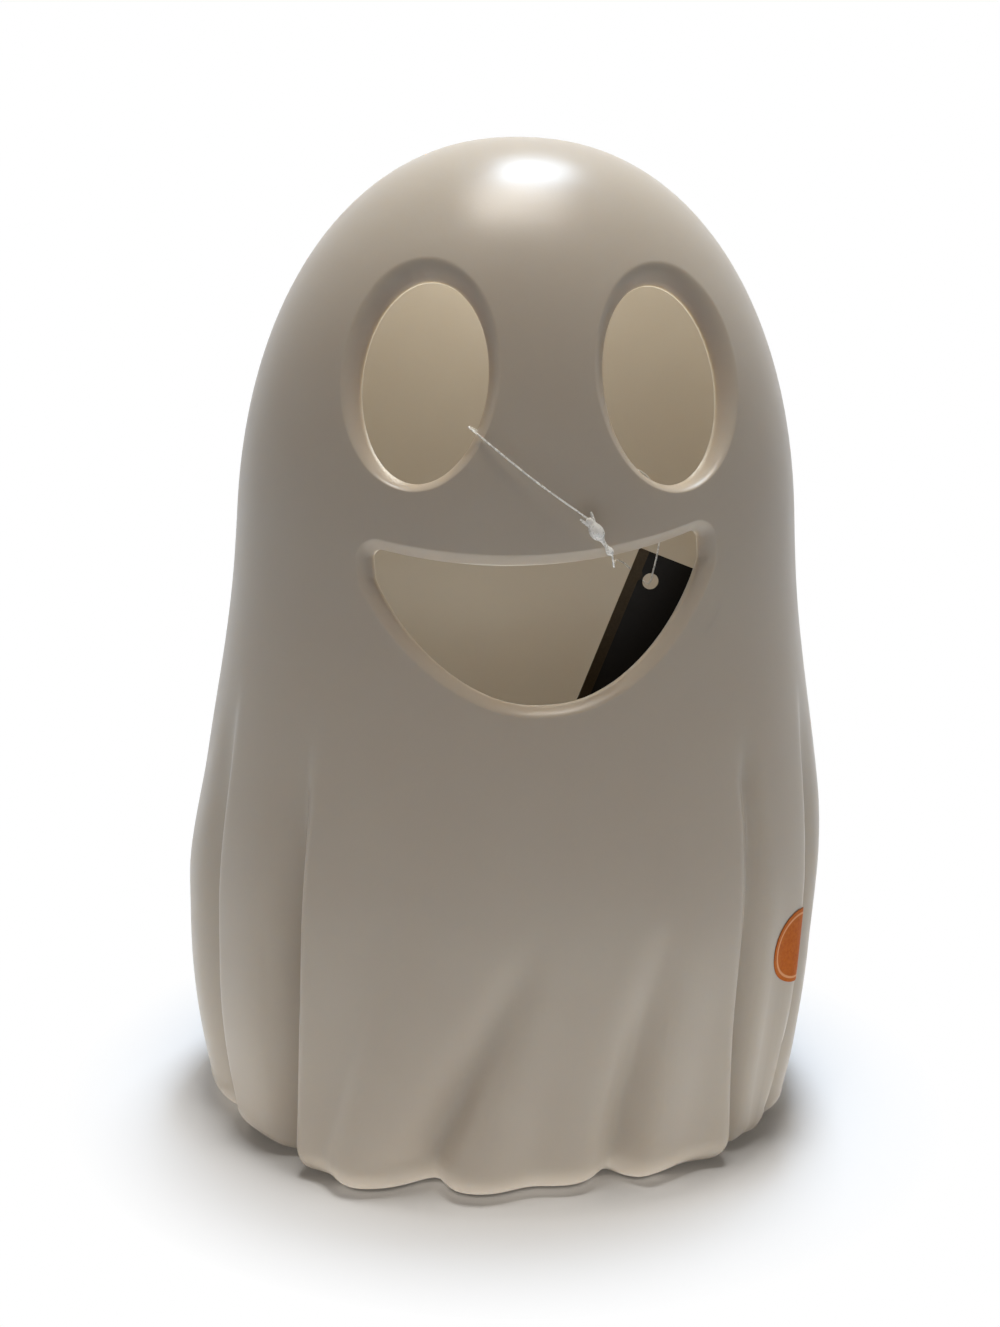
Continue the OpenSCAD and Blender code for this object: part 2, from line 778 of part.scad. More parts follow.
module battery_door() {
    color("#e8e4da") {
        translate([-door_half_w, door_front_y, door_z])
            cube([2 * door_half_w, door_back_y - door_front_y, door_t]);
        block_y = door_front_y + door_tab_d;
        translate([-door_tab_w / 2, block_y, door_z - door_tab_h]) cube([door_tab_w, door_tab_d, door_tab_h]);
        translate([-door_tab_w / 2, block_y + 2 * door_tab_d, door_z - door_tab_h])
            cube([door_tab_w, door_tab_d, door_tab_h]);
        for (side = [0, 1]) {
            mirror([side, 0, 0]) door_arm();
        }
    }
}

module door_arm() {
    translate([arm_x, door_back_y - cut, door_z]) cube([arm_w, hinge_y - door_back_y + cut, door_t]);
    translate([0, hinge_y, hinge_z]) along_x(arm_x) cylinder(r = barrel_r, h = arm_w);
    translate([0, hinge_y, hinge_z]) along_x(arm_x + arm_w - cut) cylinder(r = pin_r, h = pin_l + cut);
}

module unit_cover() {
    color("#e8e4da")
    difference() {
        translate([0, 0, cover_z]) ring(cup_r, dome_r + seat_gap, cover_t);
        at_cover_screws() {
            translate([0, 0, cover_z - cut]) cylinder(r = cover_screw_r + shank_gap, h = cover_t + 2 * cut);
        }
    }
}

module cover_screws() {
    color("silver")
    at_cover_screws() {
        translate([0, 0, cover_z + cover_t])
            pan_screw(cover_screw_r, cover_t + dome_flange_t + 9, cover_head_r, cover_head_h);
    }
}

module seal_ring() {
    seal_h = seal_room - move_gap;
    color("#3a3a3a")
    translate([0, 0, plate_z])
        rotate_extrude($fn = 96)
        translate([cup_r + seat_gap * 2 + seal_w / 2, seal_h / 2])
        difference() {
            square([seal_w, seal_h], center = true);
            translate([0, seal_h / 2]) circle(d = seal_w * 0.3);
        }
}

module lamp_board() {
    color("#2e6b3a")
    difference() {
        translate([0, 0, board_z]) cylinder(r = board_r, h = board_t, $fn = 96);
        at_board_screws() {
            translate([0, 0, board_z - cut]) cylinder(r = board_screw_r + shank_gap, h = board_t + 2 * cut);
        }
    }
}

module lamps() {
    rim_h = 1;
    color("#fff4d8")
    for (i = [0:lamp_count - 1]) {
        rotate([0, 0, (i + 0.5) * 360 / lamp_count])
            translate([lamp_ring_r, 0, lamp_z])
            rotate_extrude() {
                square([lamp_r + 0.4, rim_h]);
                square([lamp_r, lamp_h - lamp_r]);
                intersection() {
                    translate([0, lamp_h - lamp_r]) circle(r = lamp_r);
                    square([lamp_r, lamp_h]);
                }
            }
    }
}

module board_screws() {
    color("silver")
    at_board_screws() {
        translate([0, 0, lamp_z]) pan_screw(board_screw_r, board_t + post_h, board_head_r, board_head_h);
    }
}

module timer_chip() {
    color("#1c1c1c") block(3, 2, lamp_z, 1.5);
}

module diffuser_dome() {
    turns = [0:6:90];
    inner_r = dome_r - dome_wall;
    inner_h = dome_h - dome_wall;
    flange_out_r = cup_r - cup_wall - seat_gap;
    color("#f5f0e2")
    difference() {
        translate([0, 0, dome_flange_z])
            rotate_extrude($fn = 96)
            polygon(concat(
                [[inner_r, 0], [flange_out_r, 0], [flange_out_r, dome_flange_t]],
                [for (a = turns) [dome_r * cos(a), dome_flange_t + dome_h * sin(a)]],
                [for (a = turns) [inner_r * sin(a), dome_flange_t + inner_h * cos(a)]]
            ));
        at_cover_screws() {
            translate([0, 0, dome_flange_z - cut])
                cylinder(r = cover_screw_r + shank_gap, h = dome_flange_t + 2 * cut);
        }
    }
}

// One battery along X; turned is 1 with its button at +X and -1 with it at -X
module battery(row, turned) {
    button_r = 2.7;
    button_l = 1.2;
    translate([0, row * battery_pitch, battery_z])
        mirror([turned < 0 ? 1 : 0, 0, 0]) {
            along_x(bay_half_l - contact_t - battery_l) cylinder(r = battery_r, h = battery_l - button_l);
            along_x(bay_half_l - contact_t - button_l - cut) cylinder(r = button_r, h = button_l + cut);
        }
}

module battery_1() {
    color("#3f4a52") battery(-1, 1);
}

module battery_2() {
    color("#3f4a52") battery(0, -1);
}

module battery_3() {
    color("#3f4a52") battery(1, 1);
}

// Coned contact springs at the flat end of each battery
module contact_springs() {
    turns = 3.5;
    spring_wire = 0.8;
    steps = 28;
    gap = 0.1;
    near_r = 3;
    far_r = 5;
    travel = spring_l - spring_wire - 2 * gap;
    coil = [for (i = [0:steps])
        let (k = i / steps)
        let (r = far_r + (near_r - far_r) * k)
        [gap + spring_wire / 2 + travel * k, r * cos(360 * turns * k), r * sin(360 * turns * k)]];
    color("silver")
    for (row = [-1, 0, 1]) {
        translate([0, row * battery_pitch, battery_z])
            mirror([row == 0 ? 1 : 0, 0, 0])
            translate([-bay_half_l + contact_t, 0, 0])
            tube(coil, spring_wire, 6, [1, 0, 0]);
    }
}

// Metal contacts at the two ends of the bay, joining the batteries in series, with two solder tabs
module contact_plates() {
    half = battery_r * 0.85;
    plate_h = battery_r * 1.5;
    tab_l = post_z + tab_h - battery_z;
    color("silver")
    for (side = [0, 1]) {
        mirror([side, 0, 0]) mirror([0, side, 0])
            translate([bay_half_l - contact_t, 0, battery_z - plate_h / 2]) {
                translate([0, -battery_pitch - half, 0]) cube([contact_t, 2 * half, plate_h]);
                translate([0, -battery_pitch - tab_w / 2, plate_h / 2]) cube([contact_t, tab_w, tab_l]);
                translate([0, -half, 0]) cube([contact_t, battery_pitch + 2 * half, plate_h]);
            }
    }
}

// Route of a wire from a solder tab, past the edge of the lamp board and on to its top
function wire_route(side) =
    [for (p = [
        [wire_x, -battery_pitch, post_z + 0.4],
        [wire_x, -battery_pitch, post_z + 1.6],
        [wire_x - 0.2, 0.4 - battery_pitch, board_z],
        [wire_x - 2, 2 - battery_pitch, lamp_z + 0.4],
        [wire_x - 6, 4 - battery_pitch, lamp_z + wire_d / 2 + 0.3],
        [wire_x - 10, 6 - battery_pitch, lamp_z + wire_d / 2 + 0.1],
    ]) [side * p[0], side * p[1], p[2]]];

module wire_red() {
    color("#c22018") tube(route(wire_route(1), wire_steps), wire_d, wire_sides, [1, 0, 0]);
}

module wire_black() {
    color("#1c1c1c") tube(route(wire_route(-1), wire_steps), wire_d, wire_sides, [1, 0, 0]);
}

module slide_switch() {
    color("#1c1c1c")
    translate([0, switch_y, 0])
        difference() {
            block(switch_w / 2, switch_d / 2, plate_z, switch_h);
            block(knob_slot_half_w, knob_slot_half_d, plate_z - cut, knob_rise + move_gap + cut);
        }
}

module switch_knob() {
    groove_w = 0.6;
    color("#2a2a2a")
    translate([0, switch_y, 0])
        difference() {
            block(knob_w / 2, knob_d / 2, base_z - knob_drop, knob_drop + plate_t + knob_rise);
            for (k = [-1, 0, 1]) {
                translate([k * 2 * groove_w, 0, 0])
                    block(groove_w / 2, knob_d, base_z - knob_drop - cut, cut + groove_w);
            }
        }
}

ghost_shell();
socket_collar();
clamp_ring();
collar_screws();
round_sticker();
tag_loop();
tag_lock();
hang_tag();
unit_housing();
unit_cover();
cover_screws();
seal_ring();
lamp_board();
lamps();
board_screws();
timer_chip();
diffuser_dome();
battery_1();
battery_2();
battery_3();
contact_springs();
contact_plates();
wire_red();
wire_black();
slide_switch();
battery_door();
switch_knob();
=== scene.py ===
import json
import math

import bpy
import numpy as np
from mathutils import Matrix, Vector
from mathutils.geometry import delaunay_2d_cdt


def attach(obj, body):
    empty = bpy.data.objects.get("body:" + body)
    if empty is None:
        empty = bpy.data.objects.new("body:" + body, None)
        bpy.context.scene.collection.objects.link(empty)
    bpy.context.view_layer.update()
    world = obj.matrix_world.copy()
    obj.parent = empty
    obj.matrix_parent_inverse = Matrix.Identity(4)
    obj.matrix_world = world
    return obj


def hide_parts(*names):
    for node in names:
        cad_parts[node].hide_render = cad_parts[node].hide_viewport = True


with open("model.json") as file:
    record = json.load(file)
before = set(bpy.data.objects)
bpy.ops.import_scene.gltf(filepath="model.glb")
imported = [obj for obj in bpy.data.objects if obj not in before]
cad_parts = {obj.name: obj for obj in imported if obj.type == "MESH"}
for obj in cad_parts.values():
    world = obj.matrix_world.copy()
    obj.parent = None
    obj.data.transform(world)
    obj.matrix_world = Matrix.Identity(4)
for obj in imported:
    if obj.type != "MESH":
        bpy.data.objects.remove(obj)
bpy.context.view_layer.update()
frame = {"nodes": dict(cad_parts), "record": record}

# Lengths are in metres and angles in degrees. An angle round the ghost is counted from its face
# towards +X. Colours of lamps are given as 0 to 255 in the picture.

# Camera, as the photograph was taken
CAMERA_AT = (-0.06315, -0.63688, 0.30490)
CAMERA_HEADING = 5.24
CAMERA_PITCH = -12.27
CAMERA_ROLL = 0.9
CAMERA_LENS_MM = 47.17
CAMERA_SENSOR_MM = 36

# Body. The back's skirt is tucked in near the floor, from an angle on and over a span of angles.
GHOST_H = 0.356
HEAD_HALF_W = 0.102
SKIRT_HALF_W = 0.118
DEPTH_RATIO = 0.86
DOME_Z = 0.206
DOME_POWER = 2.18
SKIRT_Z = 0.087
FLARE_TOP_Z = 0.226
PLAN_POWER = 2.25
WALL = 0.002
BACK_TUCK = 0.009
TUCK_TOP_Z = 0.070
TUCK_FROM = 45
TUCK_SPAN = 14

# Hem, floor and the floor's holes. The hem is a roll that turns inward to its end angle, with a
# flat foot under it, and the floor slopes up from there.
HEM_R = 0.012
HEM_STEP = 10
HEM_FOOT = 90
HEM_END = 150
FOOT_W = 0.004
FLOOR_Z = 0.014
FLOOR_IN = 0.0235
FLOOR_EDGE_R = 0.0605
SLOPE_ROWS = 4
FLOOR_HOLE_R = 0.0459
FLOOR_HOLE_SIDES = 120
SCREW_RING_R = 0.05304
SCREW_HOLE_R = 0.0018
SCREW_HOLE_SIDES = 16
SCREW_ANGLES = (45, 135, 225, 315)

# Folds of the skirt: angle at the hem, angle at the top, top height, fade length, depth, half
# width, and how steep one wall is (towards larger angles above zero, towards smaller ones below it,
# 0 for none). A depth below zero is a bulge. A steep wall is narrower by STEEPER times that, and
# the other wall wider by GENTLER times that.
FOLDS = (
    (-48.5, -45.5, 0.170, 0.090, 0.012, 0.008, 1),
    (46, 43.8, 0.135, 0.100, 0.008, 0.0055, 0),
    (-70, -67.5, 0.175, 0.090, 0.0065, 0.008, 1),
    (58, 66, 0.175, 0.090, 0.008, 0.008, -1),
    (-116, -113, 0.165, 0.090, 0.008, 0.009, 1),
    (112, 110, 0.165, 0.090, 0.008, 0.009, -1),
    (-148, -145, 0.160, 0.090, 0.007, 0.009, 1),
    (148, 145, 0.160, 0.090, 0.007, 0.009, -1),
    (-23.5, 4, 0.110, 0.085, 0.0085, 0.009, 0.5),
    (-1, 9, 0.110, 0.100, 0.002, 0.009, 0),
    (17.5, 26, 0.110, 0.085, 0.009, 0.008, 0.5),
    (-170, -165, 0.150, 0.110, 0.004, 0.010, 0),
    (168, 172, 0.140, 0.110, 0.004, 0.010, 0),
    (-36, -21, 0.110, 0.100, -0.006, 0.014, 0),
    (35, 37, 0.110, 0.095, 0.006, 0.016, 0.2),
    (51, 52, 0.120, 0.110, 0.006, 0.009, 0),
    (80, 80, 0.125, 0.090, 0.0075, 0.024, 0),
    (-86, -86, 0.135, 0.050, -0.0033, 0.025, 0),
    (14, 14, 0.110, 0.100, 0.0025, 0.020, 0),
    (-12, 4, 0.110, 0.100, -0.0028, 0.012, 0),
    (180, 180, 0.110, 0.100, -0.0025, 0.020, 0),
    (-40.5, -28, 0.110, 0.085, 0.003, 0.008, 0.5),
    (44.6, 43.6, 0.160, 0.022, 0.003, 0.0034, 0),
)
STEEPER = 0.58
GENTLER = 0.20

# Mesh of the skin: spacing of its columns in general, on the face and in steep or short folds, then
# the face's edges, the spacing of the rows, and the gaps that the rings round the holes keep.
COLUMN_STEP = 1.9
FACE_STEP = 1.35
FOLD_STEP = 0.7
FOLD_REACH = 4.5
SHORT_FADE = 0.05
ANGLE_SAMPLES = 7201
ANGLE_SLACK = 1e-6
SEARCH_HALF_ANGLE = 80.0
SEARCH_STEPS = 40
FACE_HALF_ANGLE = 66
FACE_LOW_Z = 0.150
FACE_TOP_Z = 0.325
FACE_ROW = 0.0025
SKIRT_ROW = 0.0029
DOME_ROWS = 18
FACE_FLAT_R = 0.100
RING_MARGIN = 0.0015
RING_KEEP = 0.0012
SAME_POINT = 1e-7
SHELL_SHARP = 50

# Eyes
EYE_X = 0.0408
EYE_SHIFT = 0.002
EYE_Z = 0.2754
EYE_HALF_W = 0.0215
EYE_HALF_H = 0.0334
EYE_LEAN = 8.5
EYE_SIDES = 128
EYE_RIM_W = 0.0036
EYE_RIM_DEPTH = 0.005
EYE_CREASE = 0.3
RIM_LIFT = 0.35

# Mouth
MOUTH_HALF_W = 0.056
MOUTH_Z = 0.2245
LIP_DROP = 0.0075
CHIN_DROP = 0.053
CHIN_POWER = 1.62
CHIN_ROUND = 0.008
MOUTH_TURN = 3.5
MOUTH_CORNER_R = 0.003
MOUTH_STATIONS = 64
MOUTH_FAN = 6
MOUTH_RIM_W = 0.0036
MOUTH_RIM_DEPTH = 0.0038
MOUTH_CREASE = 0.5

# Distances of the rings of points from the edge of a hole
RING_STEPS = (0, 0.0004, 0.0008, 0.0012, 0.0017, 0.0022, 0.0027, 0.0032, 0.0036, 0.0040,
              0.0046, 0.0054, 0.0065, 0.0080)

# Round sticker
STICKER_R = 0.0135
STICKER_ANGLE = 57.5
STICKER_Z = 0.076
STICKER_T = 0.00025
STICKER_LIFT = 0.0001
STICKER_RINGS = 14
STICKER_SIDES = 72
STICKER_SHARP = 50

# Tag: a card with a strip along one edge, hung from its hole
TAG_HOLE_AT = (0.041, -0.058, 0.207)
TAG_TILT = 20.95
TAG_W = 0.040
TAG_L = 0.082
TAG_T = 0.0005
TAG_HOLE_R = 0.0028
TAG_HOLE_SIDE = 0.0079
TAG_HOLE_TOP = 0.0094
TAG_HOLE_SIDES = 40
TAG_HOLE_CLEAR = 1.15
TAG_STRIP_W = 0.0036
TAG_STRIP_EDGE = 0.0002
TAG_STRIP_SLACK = 1e-5
TAG_COLUMNS = 12
TAG_ROWS = 24
TAG_SHARP = 40

# Loop of the tag, from one end of its lock round to the other
LOOP_D = 0.0006
LOOP_STEPS = 5
LOOP_BEVEL = 3
LOOP_ROUTE = (
    (0.0145, -0.0890, 0.2325), (0.0000, -0.0883, 0.2425), (-0.0080, -0.0870, 0.2485),
    (-0.0150, -0.0852, 0.2540), (-0.0195, -0.0832, 0.2576), (-0.0224, -0.0804, 0.2598),
    (-0.0231, -0.0776, 0.2603), (-0.0215, -0.0752, 0.2596), (-0.0140, -0.0700, 0.2555),
    (-0.0040, -0.0635, 0.2490), (0.0070, -0.0610, 0.2455), (0.0180, -0.0630, 0.2455),
    (0.0280, -0.0670, 0.2470), (0.0355, -0.0686, 0.2450), (0.0405, -0.0678, 0.2385),
    (0.0425, -0.0660, 0.2300), (0.0425, -0.0625, 0.2190), (0.0414, -0.0600, 0.2105),
    (0.0410, -0.0580, 0.2070), (0.0400, -0.0560, 0.2060), (0.0370, -0.0554, 0.2085),
    (0.0320, -0.0566, 0.2130), (0.0285, -0.0620, 0.2150), (0.0265, -0.0710, 0.2155),
    (0.0250, -0.0790, 0.2158), (0.0240, -0.0855, 0.2163), (0.0232, -0.0896, 0.2178),
    (0.0225, -0.0906, 0.2210),
)

# Lock of the loop: shares of its length and the radius there. Its two prongs run from a place along
# it and to its side to one before its start, and have such a profile too.
LOCK_PROFILE = (
    (0.0, 0.0003), (0.005, 0.0008), (0.03, 0.0012), (0.09, 0.0015), (0.14, 0.0014),
    (0.19, 0.0017), (0.27, 0.0022), (0.36, 0.0024), (0.45, 0.0022), (0.52, 0.0017),
    (0.57, 0.0010), (0.62, 0.0007), (0.76, 0.0006), (0.80, 0.0008), (0.85, 0.0012),
    (0.91, 0.0013), (0.96, 0.0010), (1.0, 0.0005),
)
LOCK_SIDES = 16
LOCK_SHARP = 70
PRONG_ROOT_ALONG = 0.0028
PRONG_ROOT_SIDE = 0.0008
PRONG_TIP_BEFORE = 0.0012
PRONG_TIP_SIDE = 0.0021
PRONG_PROFILE = ((0, 0.0006), (0.35, 0.00055), (0.7, 0.0005), (1.0, 0.0003))
PRONG_SIDES = 8

# Light unit's springs and wires
BATTERY_PITCH = 0.0155
BATTERY_Z = 0.0161
SPRING_X = 0.02855
SPRING_GAP = 0.0001
SPRING_L = 0.0066
SPRING_WIRE = 0.0008
SPRING_TURNS = 3.5
SPRING_NEAR_R = 0.003
SPRING_FAR_R = 0.005
SPRING_STEPS = 90
SPRING_SIDES = 10
WIRE_D = 0.0012
WIRE_STEPS = 8
WIRE_SIDES = 14
WIRE_ROUTE = (
    (0.0279, -0.0155, 0.0261), (0.0279, -0.0155, 0.0273), (0.0277, -0.0151, 0.0282),
    (0.0259, -0.0135, 0.0302), (0.0219, -0.0115, 0.0307), (0.0179, -0.0095, 0.0305),
)
TUBE_SHARP = 60

# A direction that none of the tubes starts along
TUBE_SIDE = (0.3, 0.5, 0.81)

# Materials: the part of a noise's range that is used, its roughness, the detail of two-tone
# colours, and the rings of track on the board
NOISE_LOW = 0.3
NOISE_HIGH = 0.7
NOISE_ROUGHNESS = 0.55
TONE_DETAIL = 4
TRACK_SCALE = 40
TRACK_LOW = 0.9
TRACK_HIGH = 0.94
BLACK = (0, 0, 0, 1)
WHITE = (1, 1, 1, 1)

# Room
FLOOR_HALF = 6
FLOOR_DROP = 0.0001
SHADOW_REACH = 0.17
SHADOW_FADE = 0.06
ROOM_COLOUR = (255, 225, 200)
ROOM_STRENGTH = 0.05

# Panels of light above: place, the point that it faces, width and depth, power and colour
KEY = ((0.16, 0.42, 1.87), (0, 0, 0.20), (0.34, 0.50), 24, (222, 238, 255))
OVERHEAD = ((0, -0.15, 1.50), (0, -0.10, 0), (0.42, 0.42), 12, (255, 248, 238))

# Glow inside the shell: the place and power of each lamp, and their radius
GLOWS = (((0, 0.01, 0.30), 0.17), ((0, 0.01, 0.15), 0.10))
GLOW_R = 0.03
GLOW_COLOUR = (252, 254, 249)

# Light off the floor, in front, behind, at both sides and weaker under the base: the middle of each
# patch, its width and depth, and its power for each square metre.
BOUNCE_COLOUR = (244, 248, 255)
BOUNCE = (
    ((0, -0.2175, 0.001), 0.64, 0.265, 3),
    ((0, 0.1675, 0.001), 0.64, 0.165, 3),
    ((-0.21, 0, 0.001), 0.22, 0.17, 3),
    ((0.21, 0, 0.001), 0.22, 0.17, 3),
    ((0, 0, -0.00005), 0.24, 0.21, 0.7),
)


def srgb(red, green, blue):
    """A colour given as 0 to 255 in the picture, as the shader's linear colour."""
    share = np.array([red, green, blue]) / 255
    linear = np.where(share <= 0.04045, share / 12.92, ((share + 0.055) / 1.055) ** 2.4)
    return (*linear.tolist(), 1.0)


def smooth(t):
    t = np.clip(t, 0, 1)
    return t * t * (3 - 2 * t)


def wrap(angle):
    return (np.asarray(angle, float) + 180) % 360 - 180


# Skin of the ghost

def fold_depth(fold, phi, z, r):
    at_hem, at_top, top_z, fade, depth, width, lean = fold
    angle = at_hem + (at_top - at_hem) * np.minimum(1, z / top_z)
    arc = np.radians(wrap(phi - angle)) * r
    wall = width * np.where(arc * lean > 0, 1 - STEEPER * abs(lean), 1 + GENTLER * abs(lean))
    return depth * smooth((top_z - z) / fade) * np.exp(-(arc / wall) ** 2)


def skin_radius(phi, z):
    """Distance from the ghost's axis to its skin."""
    phi, z = np.broadcast_arrays(np.asarray(phi, float), np.asarray(z, float))
    rise = np.clip((z - DOME_Z) / (GHOST_H - DOME_Z), 0, 1)
    flare = (SKIRT_HALF_W - HEAD_HALF_W) * smooth((FLARE_TOP_Z - z) / (FLARE_TOP_Z - SKIRT_Z))
    half_w = HEAD_HALF_W * (1 - rise ** DOME_POWER) ** (1 / DOME_POWER) + flare
    side = np.abs(np.sin(np.radians(phi))) / half_w
    front = np.abs(np.cos(np.radians(phi))) / (half_w * DEPTH_RATIO)
    r = (side ** PLAN_POWER + front ** PLAN_POWER) ** (-1 / PLAN_POWER)
    tuck = BACK_TUCK * smooth((np.abs(wrap(phi)) - TUCK_FROM) / TUCK_SPAN)
    tuck = tuck * np.maximum(0, 1 - z / TUCK_TOP_Z) ** 2
    return r - tuck - sum(fold_depth(fold, phi, z, r) for fold in FOLDS)


def around(phi, r, z):
    """Points at an angle, a distance from the axis and a height."""
    phi, r, z = np.broadcast_arrays(phi, r, z)
    return np.stack([r * np.sin(np.radians(phi)), -r * np.cos(np.radians(phi)), z], axis=-1)


def skin_angle(x, z):
    """Angle at which the front of the skin has this x at this height."""
    low, high = np.full(len(x), -SEARCH_HALF_ANGLE), np.full(len(x), SEARCH_HALF_ANGLE)
    for _ in range(SEARCH_STEPS):
        middle = (low + high) / 2
        beyond = skin_radius(middle, z) * np.sin(np.radians(middle)) > x
        high = np.where(beyond, middle, high)
        low = np.where(beyond, low, middle)
    return (low + high) / 2


def column_angles():
    """Angles of the skin's columns, closer together on the face and in some folds, with columns at
    both edges of the face."""
    fine = np.linspace(-180, 180, ANGLE_SAMPLES)
    per_degree = np.where(np.abs(fine) <= FACE_HALF_ANGLE, 1 / FACE_STEP, 1 / COLUMN_STEP)
    for at_hem, at_top, _, fade, _, _, lean in FOLDS:
        if lean or fade < SHORT_FADE:
            near = np.abs(wrap(fine - (at_hem + at_top) / 2)) < FOLD_REACH
            per_degree = np.where(near, 1 / FOLD_STEP, per_degree)
    steps = (per_degree[1:] + per_degree[:-1]) / 2 * np.diff(fine)
    count = np.concatenate([[0], np.cumsum(steps)])
    edges = np.interp([-180, -FACE_HALF_ANGLE, FACE_HALF_ANGLE, 180], fine, count)
    parts = []
    for low, high in zip(edges[:-1], edges[1:]):
        steps = max(1, round(high - low))
        parts.append(np.interp(np.linspace(low, high, steps + 1)[:-1], count, fine))
    return np.concatenate(parts)


def skin_rows(phi):
    """Rings of points from near the top of the head down to the floor's edge, and the numbers of
    the face's first and last row."""
    power = 2 / DOME_POWER
    rise = GHOST_H - DOME_Z
    start = math.asin(((FACE_TOP_Z - DOME_Z) / rise) ** (1 / power))
    dome_z = DOME_Z + rise * np.sin(np.linspace(math.pi / 2, start, DOME_ROWS + 2)[1:-1]) ** power
    face_z = np.linspace(FACE_TOP_Z, FACE_LOW_Z, round((FACE_TOP_Z - FACE_LOW_Z) / FACE_ROW) + 1)
    skirt_z = np.linspace(FACE_LOW_Z, HEM_R, round((FACE_LOW_Z - HEM_R) / SKIRT_ROW) + 1)[1:]
    rows = [around(phi, skin_radius(phi, z), z) for z in (*dome_z, *face_z, *skirt_z)]
    hem = skin_radius(phi, HEM_R)
    turns = [(t, 0) for t in range(HEM_STEP, HEM_FOOT + 1, HEM_STEP)]
    turns += [(t, FOOT_W) for t in range(HEM_FOOT, HEM_END + 1, HEM_STEP)]
    for turn, foot in turns:
        t = math.radians(turn)
        end_r = hem - HEM_R - foot + HEM_R * math.cos(t)
        end_z = HEM_R * (1 - math.sin(t))
        rows.append(around(phi, end_r, end_z))
    edge_r = np.maximum(hem - FLOOR_IN - FOOT_W, FLOOR_EDGE_R)
    for share in np.linspace(0, 1, SLOPE_ROWS + 1)[1:]:
        r = end_r + (edge_r - end_r) * share
        rows.append(around(phi, r, end_z + (FLOOR_Z - end_z) * share))
    first = len(dome_z)
    return np.array(rows), (first, first + len(face_z) - 1)


# Holes of the face

def turned(points, angle, middle):
    """Flat points turned about the origin and then moved."""
    a = math.radians(angle)
    spin = np.array([[math.cos(a), -math.sin(a)], [math.sin(a), math.cos(a)]])
    return points @ spin.T + np.array(middle)


def eye_outline(side, grow):
    """An eye's edge, grown: the left eye's for side -1 and the right one's for 1."""
    t = np.linspace(0, 2 * math.pi, EYE_SIDES, endpoint=False)
    out = np.stack([np.cos(t) / EYE_HALF_W, np.sin(t) / EYE_HALF_H], axis=-1)
    out /= np.linalg.norm(out, axis=1, keepdims=True)
    points = np.stack([EYE_HALF_W * np.cos(t), EYE_HALF_H * np.sin(t)], axis=-1) + grow * out
    lift = np.array([0, RIM_LIFT * grow])
    return turned(points + lift, side * EYE_LEAN, (EYE_SHIFT + side * EYE_X, EYE_Z))


def curve_normals(points):
    """Unit normals on the right of a line of points."""
    along = np.gradient(points, axis=0)
    out = np.stack([along[:, 1], -along[:, 0]], axis=-1)
    return out / np.linalg.norm(out, axis=1, keepdims=True)


def fan(at, start, end):
    """Points and normals round a corner, from one normal to the next."""
    first, last = math.atan2(start[1], start[0]), math.atan2(end[1], end[0])
    turn = (last - first) % (2 * math.pi)
    angles = first + turn * np.linspace(0, 1, MOUTH_FAN + 2)[1:-1]
    return np.tile(at, (MOUTH_FAN, 1)), np.stack([np.cos(angles), np.sin(angles)], axis=-1)


def mouth_outline(grow):
    """The mouth's edge, grown: a core between the lip and the chin, with a round edge along it."""
    half = MOUTH_HALF_W - MOUTH_CORNER_R
    x = half * np.sin(np.linspace(-math.pi / 2, math.pi / 2, MOUTH_STATIONS))
    lip = -LIP_DROP * (1 - (x / MOUTH_HALF_W) ** 2) - MOUTH_CORNER_R
    across = np.hypot(x, CHIN_ROUND) - CHIN_ROUND * (1 - np.abs(x) / MOUTH_HALF_W)
    across = np.minimum(across / np.hypot(MOUTH_HALF_W, CHIN_ROUND), 1)
    chin = -CHIN_DROP * (1 - across ** CHIN_POWER) ** (1 / CHIN_POWER) + MOUTH_CORNER_R
    chin = np.minimum(lip, chin)
    low = np.stack([x, chin], axis=-1)
    top = np.stack([x, lip], axis=-1)[::-1]
    low_out, top_out = curve_normals(low), curve_normals(top)
    right, left = np.array([1.0, 0]), np.array([-1.0, 0])
    parts = [(low, low_out), fan(low[-1], low_out[-1], right), (low[-1:], right[None]),
             (top[:1], right[None]), fan(top[0], right, top_out[0]), (top, top_out),
             fan(top[-1], top_out[-1], left), (top[-1:], left[None]), (low[:1], left[None]),
             fan(low[0], left, low_out[0])]
    core = np.concatenate([p for p, _ in parts])
    out = np.concatenate([n for _, n in parts])
    return turned(core + (MOUTH_CORNER_R + grow) * out, MOUTH_TURN, (0, MOUTH_Z))


def rim_recess(inside, width, depth, crease):
    """How far the rim sinks at a distance from the hole's edge: a crease, then steeper towards the
    hole."""
    share = max(0.0, 1 - inside / width)
    return depth * (crease * share + (1 - crease) * share ** 2)


def inside_outline(points, outline):
    """Which points lie inside a closed outline."""
    x, y = points[:, 0, None], points[:, 1, None]
    x0, y0 = outline[:, 0], outline[:, 1]
    x1, y1 = np.roll(x0, -1), np.roll(y0, -1)
    crosses = (y0 > y) != (y1 > y)
    at = x0 + (y - y0) * (x1 - x0) / np.where(y1 == y0, 1, y1 - y0)
    return (crosses & (x < at)).sum(axis=1) % 2 == 1


def outline_distance(points, outline):
    """Distance to a closed outline, negative inside it."""
    start, along = outline, np.roll(outline, -1, axis=0) - outline
    from_start = points[:, None] - start[None]
    share = np.clip((from_start * along).sum(-1) / (along ** 2).sum(-1), 0, 1)
    gap = np.linalg.norm(from_start - share[..., None] * along, axis=-1).min(axis=1)
    return np.where(inside_outline(points, outline), -gap, gap)


